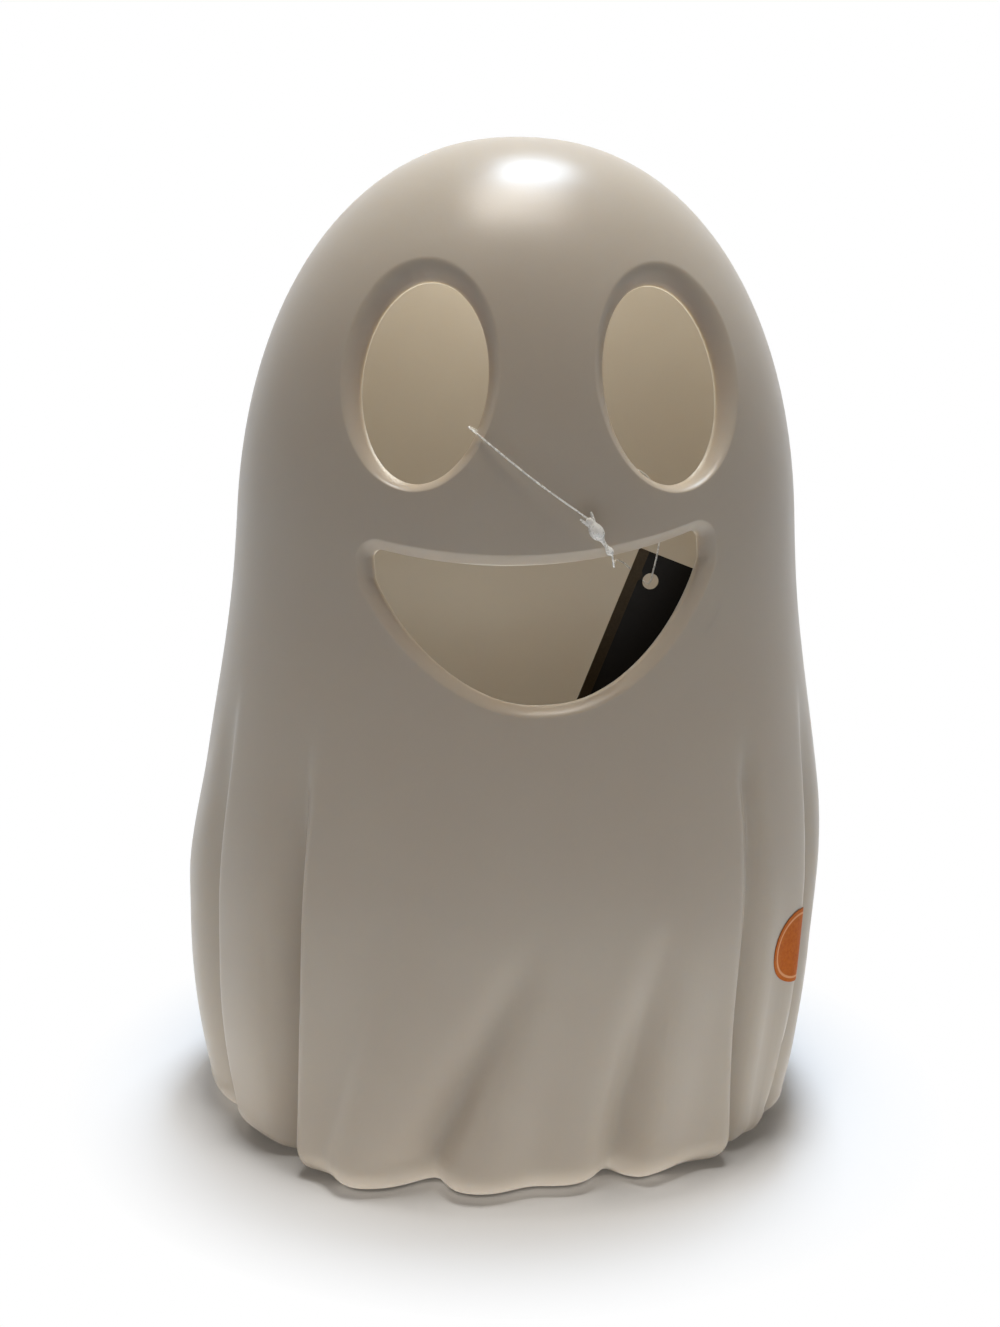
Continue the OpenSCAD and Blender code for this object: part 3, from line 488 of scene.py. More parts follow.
class Skin:
    """Points, faces and rim depths of the skin's outer side, as they are gathered."""

    def __init__(self):
        self.points, self.recess, self.faces = [], [], []

    def add(self, points, recess=0.0):
        """Adds points and gives their numbers."""
        first = len(self.points)
        self.points += [tuple(p) for p in points]
        self.recess += [recess] * len(points)
        return np.arange(first, len(self.points))


def flat_face(phi, z):
    """Points of the face at one angle and height each, unrolled."""
    return np.stack([np.radians(phi) * FACE_FLAT_R, np.broadcast_to(z, np.shape(phi))], axis=-1)


def triangulate(points, edges):
    """Triangles between points, with these edges among their sides, as numbers of the points."""
    made = delaunay_2d_cdt([Vector(p) for p in points], edges, [], 0, SAME_POINT)
    source = [ids[0] for ids in made[3]]
    return [tuple(source[v] for v in face) for face in made[2]]


def ring_edges(numbers):
    """Edges of a closed ring."""
    return list(zip(numbers.tolist(), np.roll(numbers, -1).tolist()))


def ring_quads(first, second):
    """Quads between two closed rings of as many points."""
    return list(zip(first, second, np.roll(second, -1), np.roll(first, -1)))


def add_hole(skin, outline, rim):
    """Adds the rings round one hole with its rim's width, depth and crease, and gives the outermost
    ring's numbers and its flat outline."""
    rings = []
    for step in RING_STEPS:
        x, z = outline(step).T
        phi = skin_angle(x, z)
        rings.append(skin.add(around(phi, skin_radius(phi, z), z), rim_recess(step, *rim)))
    for inner, outer in zip(rings[:-1], rings[1:]):
        skin.faces += ring_quads(inner, outer)
    return rings[-1], flat_face(phi, z)


def face_cells(phi, span):
    """Numbers of the face's columns and rows in the grid."""
    columns = np.flatnonzero(np.abs(phi) <= FACE_HALF_ANGLE + ANGLE_SLACK)
    return columns, np.arange(span[0], span[1] + 1)


def fill_face(skin, phi, heights, grid, columns, rows, holes):
    """Quads over the face where they are clear of its holes, and triangles between those and the
    holes."""
    flat = np.stack([flat_face(phi[columns], z) for z in heights])
    gap = np.min([outline_distance(flat.reshape(-1, 2), out) for _, out in holes], axis=0)
    gap = gap.reshape(flat.shape[:2])
    cell_gap = np.minimum.reduce([gap[:-1, :-1], gap[1:, :-1], gap[1:, 1:], gap[:-1, 1:]])
    open_cell = cell_gap < RING_MARGIN
    numbers = grid[np.ix_(rows, columns)]
    for i, j in zip(*np.nonzero(~open_cell)):
        skin.faces.append((numbers[i, j], numbers[i + 1, j],
                           numbers[i + 1, j + 1], numbers[i, j + 1]))
    touches = np.zeros(gap.shape, bool)
    for di, dj in ((0, 0), (1, 0), (0, 1), (1, 1)):
        touches[di:di + open_cell.shape[0], dj:dj + open_cell.shape[1]] |= open_cell
    kept = touches & (gap > RING_KEEP)
    place = np.full(gap.shape, -1)
    place[kept] = np.arange(kept.sum())
    points, source = list(flat[kept]), list(numbers[kept])
    edges = border_edges(open_cell, place)
    for ring, outline in holes:
        edges += ring_edges(np.arange(len(points), len(points) + len(ring)))
        points += list(outline)
        source += list(ring)
    points = np.array(points)
    triangles = np.array(triangulate(points, edges))
    middle = points[triangles].mean(axis=1)
    column = np.clip(np.searchsorted(flat[0, :, 0], middle[:, 0]) - 1, 0, open_cell.shape[1] - 1)
    row = np.clip(np.searchsorted(-heights, -middle[:, 1]) - 1, 0, open_cell.shape[0] - 1)
    used = open_cell[row, column]
    for _, outline in holes:
        used &= ~inside_outline(middle, outline)
    skin.faces += [tuple(source[v] for v in t) for t in triangles[used]]


def border_edges(open_cell, place):
    """Edges between the open cells and the others, as numbers of the kept points."""
    padded = np.pad(open_cell, 1)
    edges = []
    for i, j in zip(*np.nonzero(open_cell)):
        sides = (((i, j), (i, j + 1), padded[i, j + 1]),
                 ((i + 1, j), (i + 1, j + 1), padded[i + 2, j + 1]),
                 ((i, j), (i + 1, j), padded[i + 1, j]),
                 ((i, j + 1), (i + 1, j + 1), padded[i + 1, j + 2]))
        edges += [(int(place[a]), int(place[b])) for a, b, beyond in sides if not beyond]
    return edges


def circle(radius, sides, middle=(0, 0)):
    t = np.linspace(0, 2 * math.pi, sides, endpoint=False)
    return np.stack([radius * np.cos(t), radius * np.sin(t)], axis=-1) + np.array(middle)


def fill_floor(skin, edge):
    """The flat floor between its edge, the collar's hole and the screw holes. It faces down."""
    outlines = [np.array(skin.points)[edge][:, :2], circle(FLOOR_HOLE_R, FLOOR_HOLE_SIDES)]
    for angle in SCREW_ANGLES:
        a = math.radians(angle)
        middle = (SCREW_RING_R * math.cos(a), SCREW_RING_R * math.sin(a))
        outlines.append(circle(SCREW_HOLE_R, SCREW_HOLE_SIDES, middle))
    source, edges = list(edge), ring_edges(np.arange(len(edge)))
    for outline in outlines[1:]:
        edges += ring_edges(np.arange(len(source), len(source) + len(outline)))
        source += list(skin.add(np.column_stack([outline, np.full(len(outline), FLOOR_Z)])))
    points = np.concatenate(outlines)
    triangles = np.array(triangulate(points, edges))
    middle = points[triangles].mean(axis=1)
    used = inside_outline(middle, outlines[0])
    for outline in outlines[1:]:
        used &= ~inside_outline(middle, outline)
    skin.faces += [tuple(source[v] for v in t[::-1]) for t in triangles[used]]


def vertex_normals(points, faces):
    """Unit normals of a mesh of triangles and quads, weighted by the faces' areas."""
    normals = np.zeros_like(points)
    for size in (3, 4):
        group = np.array([f for f in faces if len(f) == size])
        a, b, c = points[group[:, 0]], points[group[:, 1]], points[group[:, 2]]
        cross = np.cross(b - a, c - a)
        if size == 4:
            cross = np.cross(c - a, points[group[:, 3]] - b)
        for k in range(size):
            np.add.at(normals, group[:, k], cross)
    return normals / np.linalg.norm(normals, axis=1, keepdims=True)


def open_sides(faces):
    """Edges that only one face has, in that face's direction."""
    seen = {}
    for face in faces:
        for a, b in zip(face, (*face[1:], face[0])):
            seen[(a, b)] = True
    return [(a, b) for a, b in seen if (b, a) not in seen]


def both_sides(faces, count):
    """Faces of a sheet's first side, of its other side, whose points come after the first side's,
    and of the cut edges between them."""
    other = [tuple(v + count for v in face[::-1]) for face in faces]
    return [*faces, *other, *((b, a, a + count, b + count) for a, b in open_sides(faces))]


def gather_skin():
    """The skin's outer side: the grid without the face's cells, the top, the face and the floor."""
    skin = Skin()
    phi = column_angles()
    rows, span = skin_rows(phi)
    grid = skin.add(rows.reshape(-1, 3)).reshape(rows.shape[:2])
    columns, face_rows = face_cells(phi, span)
    in_face = np.zeros((len(rows) - 1, len(phi)), bool)
    in_face[np.ix_(face_rows[:-1], columns[:-1])] = True
    for i, j in zip(*np.nonzero(~in_face)):
        k = (j + 1) % len(phi)
        skin.faces.append((grid[i, j], grid[i + 1, j], grid[i + 1, k], grid[i, k]))
    top = skin.add([(0, 0, GHOST_H)])[0]
    skin.faces += [(top, a, b) for a, b in ring_edges(grid[0])]
    eye_rim = (EYE_RIM_W, EYE_RIM_DEPTH, EYE_CREASE)
    mouth_rim = (MOUTH_RIM_W, MOUTH_RIM_DEPTH, MOUTH_CREASE)
    holes = [add_hole(skin, lambda d, s=side: eye_outline(s, d), eye_rim) for side in (-1, 1)]
    holes.append(add_hole(skin, mouth_outline, mouth_rim))
    fill_face(skin, phi, rows[face_rows, 0, 2], grid, columns, face_rows, holes)
    fill_floor(skin, grid[-1])
    return skin


def make_mesh(name, points, faces, material, sharp=None):
    """A smooth mesh, with its edges crisp where its faces meet at more than an angle."""
    mesh = bpy.data.meshes.new(name)
    faces = [tuple(map(int, face)) for face in faces]
    mesh.from_pydata([tuple(map(float, p)) for p in points], [], faces)
    mesh.validate()
    mesh.shade_smooth()
    if sharp:
        mesh.set_sharp_from_angle(angle=math.radians(sharp))
    obj = bpy.data.objects.new(name, mesh)
    bpy.context.scene.collection.objects.link(obj)
    mesh.materials.append(material)
    return obj


def make_shell(material):
    """The ghost: the skin, its inner side, and the cut edges between them."""
    skin = gather_skin()
    points = np.array(skin.points)
    inward = -vertex_normals(points, skin.faces)
    recess = np.array(skin.recess)[:, None]
    outer = points + inward * recess
    inner = points + inward * (recess + WALL)
    faces = both_sides(skin.faces, len(points))
    return make_mesh("ghost_body", np.concatenate([outer, inner]), faces, material, SHELL_SHARP)


# Materials

class Nodes:
    """A material's node tree with one Principled shader, and short ways to add to it."""

    def __init__(self, name, **shader):
        self.material = bpy.data.materials.new(name)
        self.material.use_nodes = True
        self.tree = self.material.node_tree
        self.shader = self.tree.nodes["Principled BSDF"]
        for socket, value in shader.items():
            self.shader.inputs[socket.replace("_", " ")].default_value = value
        self.place = self.tree.nodes.new("ShaderNodeTexCoord").outputs["Object"]

    def link(self, start, end):
        self.tree.links.new(start, end)

    def noise(self, size, detail=3):
        """Noise whose lumps are about this long."""
        node = self.tree.nodes.new("ShaderNodeTexNoise")
        node.inputs["Scale"].default_value = 1 / size
        node.inputs["Detail"].default_value = detail
        node.inputs["Roughness"].default_value = NOISE_ROUGHNESS
        self.link(self.place, node.inputs["Vector"])
        return node.outputs["Fac"]

    def ramp(self, factor, stops):
        node = self.tree.nodes.new("ShaderNodeValToRGB")
        ramp = node.color_ramp
        while len(ramp.elements) < len(stops):
            ramp.elements.new(0.5)
        for element, (at, colour) in zip(ramp.elements, stops):
            element.position = at
            element.color = colour
        self.link(factor, node.inputs["Fac"])
        return node.outputs["Color"]

    def tones(self, size, first, second, detail=TONE_DETAIL):
        """Two near shades, in lumps about this long."""
        return self.ramp(self.noise(size, detail), ((NOISE_LOW, first), (NOISE_HIGH, second)))

    def spread(self, factor, low, high, start=NOISE_LOW, end=NOISE_HIGH):
        """A part of a factor's range, stretched so that it runs from low to high."""
        node = self.tree.nodes.new("ShaderNodeMapRange")
        ends = (("From Min", start), ("From Max", end), ("To Min", low), ("To Max", high))
        for socket, value in ends:
            node.inputs[socket].default_value = value
        self.link(factor, node.inputs["Value"])
        return node.outputs["Result"]

    def mix(self, factor, first, second):
        node = self.tree.nodes.new("ShaderNodeMix")
        node.data_type = "RGBA"
        for socket, value in ((0, factor), (6, first), (7, second)):
            if isinstance(value, bpy.types.NodeSocket):
                self.link(value, node.inputs[socket])
            else:
                node.inputs[socket].default_value = value
        return node.outputs[2]

    def attribute(self, name):
        node = self.tree.nodes.new("ShaderNodeAttribute")
        node.attribute_name = name
        return node.outputs["Fac"]

    def bump(self, height, distance, strength, under=None):
        node = self.tree.nodes.new("ShaderNodeBump")
        node.inputs["Distance"].default_value = distance
        node.inputs["Strength"].default_value = strength
        self.link(height, node.inputs["Height"])
        if under is not None:
            self.link(under, node.inputs["Normal"])
        return node.outputs["Normal"]

    def set(self, socket, value):
        self.link(value, self.shader.inputs[socket])

    def two_tone(self, size, first, second):
        """A base colour of two near shades."""
        self.set("Base Color", self.tones(size, first, second))

    def gloss(self, size, low, high):
        """Roughness that wanders between two values, in lumps about this long."""
        self.set("Roughness", self.spread(self.noise(size), low, high))

    def grain(self, size, distance, strength, detail=3, under=None):
        """A fine bump in lumps about this long, on top of another bump if there is one."""
        self.set("Normal", self.bump(self.noise(size, detail), distance, strength, under))


def shell_material():
    """Pale plastic that lets some light in, with a soft gloss and very slight waves."""
    nodes = Nodes("shell_plastic", Subsurface_Weight=1.0, Subsurface_Scale=0.002,
                  Subsurface_Radius=(1.0, 0.88, 0.7), IOR=1.5, Specular_IOR_Level=0.25)
    nodes.two_tone(0.06, srgb(178, 166, 150), srgb(181, 170, 154))
    nodes.gloss(0.012, 0.29, 0.34)
    waves = nodes.bump(nodes.noise(0.03, detail=1), distance=0.0006, strength=0.05)
    nodes.grain(0.0007, distance=0.00004, strength=0.3, detail=2, under=waves)
    return nodes.material


def moulded_material(name, first, second, roughness):
    """Moulded plastic or rubber: two near shades, an uneven gloss and a fine grain."""
    nodes = Nodes(name, IOR=1.5)
    nodes.two_tone(0.015, first, second)
    nodes.gloss(0.004, roughness - 0.05, roughness + 0.07)
    nodes.grain(0.0008, distance=0.00005, strength=0.6, detail=2)
    return nodes.material


def metal_material(name, first, second, roughness):
    """Plated metal: small patches of tone and gloss, and a very fine grain."""
    nodes = Nodes(name, Metallic=1.0)
    nodes.two_tone(0.0015, first, second)
    nodes.gloss(0.0006, roughness - 0.08, roughness + 0.1)
    nodes.grain(0.0002, distance=0.00001, strength=0.5)
    return nodes.material


def sticker_material():
    """Orange paper with a thin paler ring near its edge."""
    nodes = Nodes("sticker_paper", IOR=1.5, Specular_IOR_Level=0.1)
    paper = nodes.tones(0.0012, srgb(166, 79, 5), srgb(182, 94, 14))
    stops = ((0.0, BLACK), (0.83, BLACK), (0.85, WHITE), (0.89, WHITE), (0.91, BLACK))
    ring = nodes.ramp(nodes.attribute("radius"), stops)
    nodes.set("Base Color", nodes.mix(ring, paper, srgb(206, 146, 96)))
    nodes.gloss(0.002, 0.5, 0.6)
    nodes.grain(0.0005, distance=0.00002, strength=0.5)
    return nodes.material


def filament_material():
    nodes = Nodes("clear_nylon", IOR=1.5, Transmission_Weight=0.4)
    nodes.two_tone(0.003, srgb(238, 235, 228), srgb(245, 243, 238))
    nodes.gloss(0.002, 0.22, 0.34)
    return nodes.material


def card_material():
    """Black printed card with a dark brown strip along one edge."""
    nodes = Nodes("tag_card", IOR=1.5, Specular_IOR_Level=0.2)
    black = nodes.tones(0.0008, srgb(9, 6, 3), srgb(14, 10, 6))
    brown = nodes.tones(0.0008, srgb(54, 43, 27), srgb(64, 52, 34))
    nodes.set("Base Color", nodes.mix(nodes.attribute("strip"), black, brown))
    nodes.gloss(0.003, 0.5, 0.62)
    nodes.grain(0.0004, distance=0.00002, strength=0.4)
    return nodes.material


def board_material():
    """Green circuit board with fine lighter rings of track."""
    nodes = Nodes("lamp_board", IOR=1.5, Coat_Weight=0.4)
    green = nodes.tones(0.004, srgb(28, 84, 44), srgb(36, 98, 52), detail=3)
    wave = nodes.tree.nodes.new("ShaderNodeTexWave")
    wave.wave_type = "RINGS"
    wave.rings_direction = "Z"
    wave.inputs["Scale"].default_value = TRACK_SCALE
    nodes.link(nodes.place, wave.inputs["Vector"])
    track = nodes.spread(wave.outputs["Fac"], 0.0, 1.0, TRACK_LOW, TRACK_HIGH)
    nodes.set("Base Color", nodes.mix(track, green, srgb(70, 138, 84)))
    nodes.gloss(0.003, 0.25, 0.4)
    nodes.set("Normal", nodes.bump(track, distance=0.00003, strength=0.8))
    return nodes.material


def lamp_material():
    """Clear resin with a yellow tint."""
    nodes = Nodes("lamp_resin", IOR=1.5, Transmission_Weight=0.3, Subsurface_Weight=0.3,
                  Subsurface_Scale=0.001)
    nodes.two_tone(0.0012, srgb(244, 226, 164), srgb(252, 244, 216))
    nodes.gloss(0.001, 0.1, 0.2)
    return nodes.material


def diffuser_material():
    nodes = Nodes("milky_plastic", IOR=1.5, Subsurface_Weight=1.0, Subsurface_Scale=0.0015,
                  Subsurface_Radius=(1.0, 0.95, 0.85))
    nodes.two_tone(0.02, srgb(240, 236, 224), srgb(246, 243, 234))
    nodes.gloss(0.004, 0.25, 0.36)
    nodes.grain(0.0012, distance=0.00003, strength=0.5, detail=2)
    return nodes.material


def battery_material():
    """Dark plain wrap, with bright metal at both tips."""
    nodes = Nodes("battery_wrap", IOR=1.5)
    along = nodes.tree.nodes.new("ShaderNodeSeparateXYZ")
    coords = nodes.tree.nodes.new("ShaderNodeTexCoord")
    nodes.link(coords.outputs["Generated"], along.inputs["Vector"])
    plain = nodes.tones(0.005, srgb(58, 66, 74), srgb(70, 78, 86), detail=3)
    stops = ((0.0, WHITE), (0.025, WHITE), (0.03, BLACK), (0.945, BLACK), (0.95, WHITE))
    tip = nodes.ramp(along.outputs["X"], stops)
    nodes.set("Base Color", nodes.mix(tip, plain, srgb(206, 204, 198)))
    nodes.set("Metallic", nodes.spread(tip, low=0, high=1, start=0, end=1))
    nodes.gloss(0.002, 0.28, 0.4)
    return nodes.material


def make_materials():
    """One material for each slot of the record."""
    return {
        "shell": shell_material(),
        "white_plastic": moulded_material(
            "white_plastic", srgb(222, 217, 205), srgb(230, 226, 216), 0.42),
        "screw_steel": metal_material("zinc_steel", srgb(186, 188, 190), srgb(206, 207, 206), 0.34),
        "sticker": sticker_material(),
        "filament": filament_material(),
        "tag_card": card_material(),
        "seal": moulded_material("grey_rubber", srgb(46, 46, 47), srgb(58, 58, 58), 0.7),
        "board": board_material(),
        "lamp": lamp_material(),
        "black_plastic": moulded_material(
            "black_plastic", srgb(23, 23, 24), srgb(32, 32, 32), 0.45),
        "diffuser": diffuser_material(),
        "battery": battery_material(),
        "contact": metal_material("nickel", srgb(204, 203, 197), srgb(220, 218, 211), 0.22),
        "wire_red": moulded_material("red_insulation", srgb(186, 32, 24), srgb(200, 44, 34), 0.5),
        "wire_black": moulded_material("black_insulation", srgb(20, 20, 21), srgb(30, 30, 30), 0.5),
    }


# Small pieces

def curve_line(points, steps):
    """A smooth line through the points."""
    p = np.array(points)
    p = np.concatenate([2 * p[:1] - p[1:2], p, 2 * p[-1:] - p[-2:-1]])
    t = np.linspace(0, 1, steps, endpoint=False)[:, None]
    line = []
    for a, b, c, d in zip(p[:-3], p[1:-2], p[2:-1], p[3:]):
        line.append(0.5 * (2 * b + (c - a) * t + (2 * a - 5 * b + 4 * c - d) * t ** 2
                           + (3 * b - a - 3 * c + d) * t ** 3))
    return np.concatenate([*line, p[-2:-1]])


def make_loop(material):
    """The loop as a round line of one open spline."""
    points = curve_line(LOOP_ROUTE, LOOP_STEPS)
    data = bpy.data.curves.new("tag_filament", "CURVE")
    data.dimensions = "3D"
    data.bevel_depth = LOOP_D / 2
    data.bevel_resolution = LOOP_BEVEL
    data.use_fill_caps = True
    spline = data.splines.new("POLY")
    spline.points.add(len(points) - 1)
    for point, at in zip(spline.points, points):
        point.co = (*map(float, at), 1.0)
    spline.use_smooth = True
    obj = bpy.data.objects.new("tag_filament", data)
    bpy.context.scene.collection.objects.link(obj)
    data.materials.append(material)
    return obj


def tube_mesh(points, radii, sides):
    """Points and faces of a closed tube along a line, with a radius at each point."""
    p = np.array(points, float)
    along = np.gradient(p, axis=0)
    along /= np.linalg.norm(along, axis=1, keepdims=True)
    side = np.cross(along[0], TUBE_SIDE)
    t = np.linspace(0, 2 * math.pi, sides, endpoint=False)[:, None]
    rings = []
    for at, way, r in zip(p, along, np.broadcast_to(radii, len(p))):
        side = side - way * (side @ way)
        side /= np.linalg.norm(side)
        rings.append(at + r * (np.cos(t) * side + np.sin(t) * np.cross(way, side)))
    faces = []
    for i in range(len(p) - 1):
        for j in range(sides):
            k = (j + 1) % sides
            faces.append((i * sides + j, i * sides + k, (i + 1) * sides + k, (i + 1) * sides + j))
    faces.append(tuple(reversed(range(sides))))
    faces.append(tuple(range((len(p) - 1) * sides, len(p) * sides)))
    return np.concatenate(rings), faces


def tapered(start, end, profile, sides):
    """A tube between two points, from a profile of shares of the way and radii."""
    spots = [start + (end - start) * share for share, _ in profile]
    return tube_mesh(spots, [r for _, r in profile], sides)


def joined(parts):
    """Several meshes' points and faces as one."""
    points, faces, first = [], [], 0
    for p, f in parts:
        points.append(p)
        faces += [tuple(v + first for v in face) for face in f]
        first += len(p)
    return np.concatenate(points), faces


def make_lock(material):
    """The loop's lock: two prongs, a bulged head with a waist, a slim neck and a round tail."""
    start, end = np.array(LOOP_ROUTE[0]), np.array(LOOP_ROUTE[-1])
    way = (end - start) / np.linalg.norm(end - start)
    across = np.cross(way, (0, -1, 0))
    across /= np.linalg.norm(across)
    parts = [tapered(start, end, LOCK_PROFILE, LOCK_SIDES)]
    for lean in (-1, 1):
        root = start + way * PRONG_ROOT_ALONG + across * lean * PRONG_ROOT_SIDE
        tip = start - way * PRONG_TIP_BEFORE + across * lean * PRONG_TIP_SIDE
        parts.append(tapered(root, tip, PRONG_PROFILE, PRONG_SIDES))
    return make_mesh("loop_lock", *joined(parts), material, LOCK_SHARP)


def set_attribute(obj, name, values):
    """Gives both sides of a sheet a value at each point, for its material."""
    attribute = obj.data.attributes.new(name, "FLOAT", "POINT")
    attribute.data.foreach_set("value", np.tile(values, 2).astype(np.float32))


def tag_columns():
    """Widths at which the card's mesh is divided, with a crisp edge to its strip."""
    rest = np.linspace(TAG_STRIP_W + TAG_STRIP_EDGE, TAG_W, TAG_COLUMNS)
    return np.concatenate([[0, TAG_STRIP_W], rest]) - TAG_HOLE_SIDE


def make_tag(material):
    """A card with a punched hole, hung from it in the plane of X and Z."""
    across = tag_columns()
    down = np.linspace(TAG_HOLE_TOP, TAG_HOLE_TOP - TAG_L, TAG_ROWS)
    grid = np.array([(x, z) for z in down for x in across])
    hole = circle(TAG_HOLE_R, TAG_HOLE_SIDES)
    kept = grid[np.linalg.norm(grid, axis=1) > TAG_HOLE_R * TAG_HOLE_CLEAR]
    points = np.concatenate([hole, kept])
    triangles = np.array(triangulate(points, ring_edges(np.arange(len(hole)))))
    triangles = triangles[~inside_outline(points[triangles].mean(axis=1), hole)]
    tilt = np.array(Matrix.Rotation(math.radians(TAG_TILT), 3, "Y"))
    front, back = [np.column_stack([points[:, 0], np.full(len(points), y), points[:, 1]]) @ tilt.T
                   + np.array(TAG_HOLE_AT) for y in (-TAG_T / 2, TAG_T / 2)]
    faces = both_sides([tuple(t) for t in triangles], len(points))
    obj = make_mesh("tag_sheet", np.concatenate([front, back]), faces, material, TAG_SHARP)
    set_attribute(obj, "strip", points[:, 0] < across[1] + TAG_STRIP_SLACK)
    return obj


def make_sticker(material):
    """A round patch that follows the skin."""
    shares = np.linspace(0, 1, STICKER_RINGS + 1)[1:]
    middle_r = skin_radius(STICKER_ANGLE, STICKER_Z)
    circles = [circle(share * STICKER_R, STICKER_SIDES) for share in shares]
    spots = np.concatenate([np.zeros((1, 2)), *circles])
    phi = STICKER_ANGLE + np.degrees(spots[:, 0] / middle_r)
    z = STICKER_Z + spots[:, 1]
    n = STICKER_SIDES
    rings = [np.arange(1 + i * n, 1 + (i + 1) * n) for i in range(STICKER_RINGS)]
    faces = [(0, a, b) for a, b in ring_edges(rings[0])]
    for inner, outer in zip(rings[:-1], rings[1:]):
        faces += ring_quads(inner, outer)
    low = around(phi, skin_radius(phi, z), z)
    out = vertex_normals(low, faces)
    low = low + out * STICKER_LIFT
    high = low + out * STICKER_T
    faces = both_sides(faces, len(low))
    obj = make_mesh("sticker_patch", np.concatenate([high, low]), faces, material, STICKER_SHARP)
    set_attribute(obj, "radius", np.linalg.norm(spots, axis=1) / STICKER_R)
    return obj


def make_springs(material):
    """Three coned springs, the middle one at the other end of its battery."""
    k = np.linspace(0, 1, SPRING_STEPS + 1)
    turn = 2 * math.pi * SPRING_TURNS * k
    r = SPRING_FAR_R + (SPRING_NEAR_R - SPRING_FAR_R) * k
    travel = SPRING_L - SPRING_WIRE - 2 * SPRING_GAP
    x = -SPRING_X + SPRING_GAP + SPRING_WIRE / 2 + travel * k
    parts = []
    for row in (-1, 0, 1):
        side = -1 if row == 0 else 1
        y = row * BATTERY_PITCH + r * np.cos(turn)
        line = np.stack([side * x, y, BATTERY_Z + r * np.sin(turn)], axis=-1)
        parts.append(tube_mesh(line, SPRING_WIRE / 2, SPRING_SIDES))
    return make_mesh("spring_coils", *joined(parts), material, TUBE_SHARP)


def make_wire(name, side, material):
    route = np.array(WIRE_ROUTE) * np.array([side, side, 1])
    points, faces = tube_mesh(curve_line(route, WIRE_STEPS), WIRE_D / 2, WIRE_SIDES)
    return make_mesh(name, points, faces, material, TUBE_SHARP)


# Scene

def make_camera():
    data = bpy.data.cameras.new("camera")
    data.lens = CAMERA_LENS_MM
    data.sensor_width = CAMERA_SENSOR_MM
    camera = bpy.data.objects.new("camera", data)
    turn = Matrix.Rotation(math.radians(-CAMERA_HEADING), 4, "Z")
    turn = turn @ Matrix.Rotation(math.radians(90 + CAMERA_PITCH), 4, "X")
    turn = turn @ Matrix.Rotation(math.radians(CAMERA_ROLL), 4, "Z")
    camera.matrix_world = Matrix.Translation(CAMERA_AT) @ turn
    bpy.context.scene.collection.objects.link(camera)
    bpy.context.scene.camera = camera


def make_lamp(name, kind, at, power, colour):
    """A lamp that isn't seen itself."""
    data = bpy.data.lights.new(name, kind)
    data.energy = power
    data.color = srgb(*colour)[:3]
    lamp = bpy.data.objects.new(name, data)
    lamp.location = at
    lamp.visible_camera = False
    bpy.context.scene.collection.objects.link(lamp)
    return lamp


def make_panel(name, at, aim, size, power, colour):
    """A flat lamp that faces a point."""
    lamp = make_lamp(name, "AREA", at, power, colour)
    lamp.data.shape = "RECTANGLE"
    lamp.data.size, lamp.data.size_y = size
    lamp.rotation_euler = (Vector(aim) - Vector(at)).to_track_quat("-Z", "Y").to_euler()
    return lamp


def seen_ray(tree):
    """1 for rays that show a background: from the camera, a mirror or through glass."""
    path = tree.nodes.new("ShaderNodeLightPath")
    total = path.outputs["Is Camera Ray"]
    for name in ("Is Glossy Ray", "Is Transmission Ray"):
        add = tree.nodes.new("ShaderNodeMath")
        add.operation = "MAXIMUM"
        tree.links.new(total, add.inputs[0])
        tree.links.new(path.outputs[name], add.inputs[1])
        total = add.outputs[0]
    return total


def make_world():
    """White where it is seen, and a dim warm room where it lights."""
    world = bpy.data.worlds.new("room")
    bpy.context.scene.world = world
    world.use_nodes = True
    tree = world.node_tree
    light = tree.nodes["Background"]
    light.inputs["Color"].default_value = srgb(*ROOM_COLOUR)
    light.inputs["Strength"].default_value = ROOM_STRENGTH
    shown = tree.nodes.new("ShaderNodeBackground")
    shown.inputs["Color"].default_value = WHITE
    mix = tree.nodes.new("ShaderNodeMixShader")
    tree.links.new(seen_ray(tree), mix.inputs["Fac"])
    tree.links.new(light.outputs[0], mix.inputs[1])
    tree.links.new(shown.outputs[0], mix.inputs[2])
    tree.links.new(mix.outputs[0], tree.nodes["World Output"].inputs["Surface"])


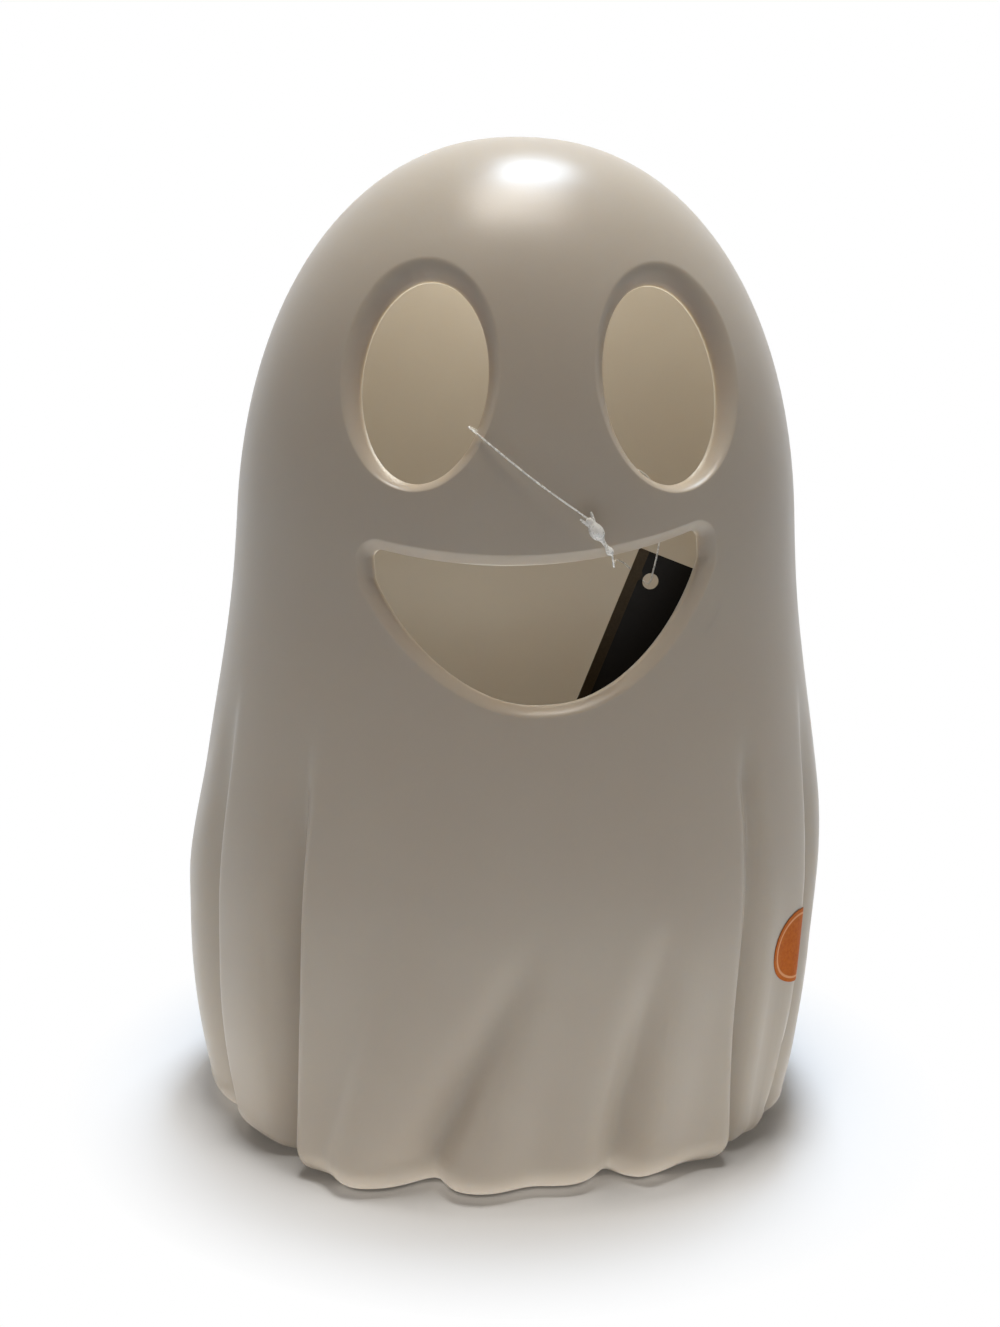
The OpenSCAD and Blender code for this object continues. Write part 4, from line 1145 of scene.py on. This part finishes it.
def floor_material():
    """White floor: it takes the ghost's shadow, and further out it is plain white where it is seen.
    From below it is clear, so that the base shows."""
    nodes = Nodes("white_floor", Roughness=0.8)
    nodes.two_tone(0.4, srgb(230, 233, 237), srgb(234, 237, 241))
    tree = nodes.tree
    white = tree.nodes.new("ShaderNodeEmission")
    white.inputs["Color"].default_value = WHITE
    length = tree.nodes.new("ShaderNodeVectorMath")
    length.operation = "LENGTH"
    nodes.link(nodes.place, length.inputs[0])
    shadow_end = SHADOW_REACH - SHADOW_FADE
    far = nodes.spread(length.outputs["Value"], 0.0, 1.0, shadow_end, SHADOW_REACH)
    both = tree.nodes.new("ShaderNodeMath")
    both.operation = "MULTIPLY"
    nodes.link(far, both.inputs[0])
    nodes.link(seen_ray(tree), both.inputs[1])
    mix = tree.nodes.new("ShaderNodeMixShader")
    nodes.link(both.outputs[0], mix.inputs["Fac"])
    nodes.link(nodes.shader.outputs[0], mix.inputs[1])
    nodes.link(white.outputs[0], mix.inputs[2])
    sides = tree.nodes.new("ShaderNodeMixShader")
    nodes.link(tree.nodes.new("ShaderNodeNewGeometry").outputs["Backfacing"], sides.inputs["Fac"])
    nodes.link(mix.outputs[0], sides.inputs[1])
    nodes.link(tree.nodes.new("ShaderNodeBsdfTransparent").outputs[0], sides.inputs[2])
    nodes.link(sides.outputs[0], tree.nodes["Material Output"].inputs["Surface"])
    return nodes.material


def make_floor():
    half = FLOOR_HALF
    corners = [(-half, -half, 0), (half, -half, 0), (half, half, 0), (-half, half, 0)]
    floor = make_mesh("floor", corners, [(0, 1, 2, 3)], floor_material())
    floor.location.z = -FLOOR_DROP


def make_light():
    """A panel above and behind, whose gloss shows on the head, a soft one above the face, light
    from the floor close by, and a soft glow within the shell."""
    make_panel("key", *KEY)
    make_panel("overhead", *OVERHEAD)
    for at, width, depth, strength in BOUNCE:
        power = strength * width * depth
        bounce = make_panel("bounce", at, (at[0], at[1], 1), (width, depth), power, BOUNCE_COLOUR)
        bounce.visible_glossy = False
    for at, power in GLOWS:
        glow = make_lamp("glow", "POINT", at, power, GLOW_COLOUR)
        glow.data.shadow_soft_size = GLOW_R


def dress_frame(materials):
    """Gives each CAD node the material of its slot."""
    for part in frame["record"]["subparts"]:
        mesh = frame["nodes"][part["node"]].data
        mesh.materials.clear()
        mesh.materials.append(materials[part["material_slot"]])


def add_piece(obj, body, node):
    """Puts a piece on its body and in a CAD node's place."""
    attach(obj, body)
    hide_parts(node)
    return obj


def make_pieces(materials):
    lock = add_piece(make_lock(materials["filament"]), "ghost", "tag_lock")
    loop = add_piece(make_loop(materials["filament"]), "ghost", "tag_loop")
    add_piece(make_shell(materials["shell"]), "ghost", "ghost_shell")
    add_piece(make_sticker(materials["sticker"]), "ghost", "round_sticker")
    add_piece(make_tag(materials["tag_card"]), "tag", "hang_tag")
    add_piece(make_springs(materials["contact"]), "light_unit", "contact_springs")
    for name, side, slot in (("red_lead", 1, "wire_red"), ("black_lead", -1, "wire_black")):
        add_piece(make_wire(name, side, materials[slot]), "light_unit", slot)


bpy.context.scene.view_settings.view_transform = "Standard"
make_camera()
materials = make_materials()
dress_frame(materials)
make_pieces(materials)
make_world()
make_floor()
make_light()
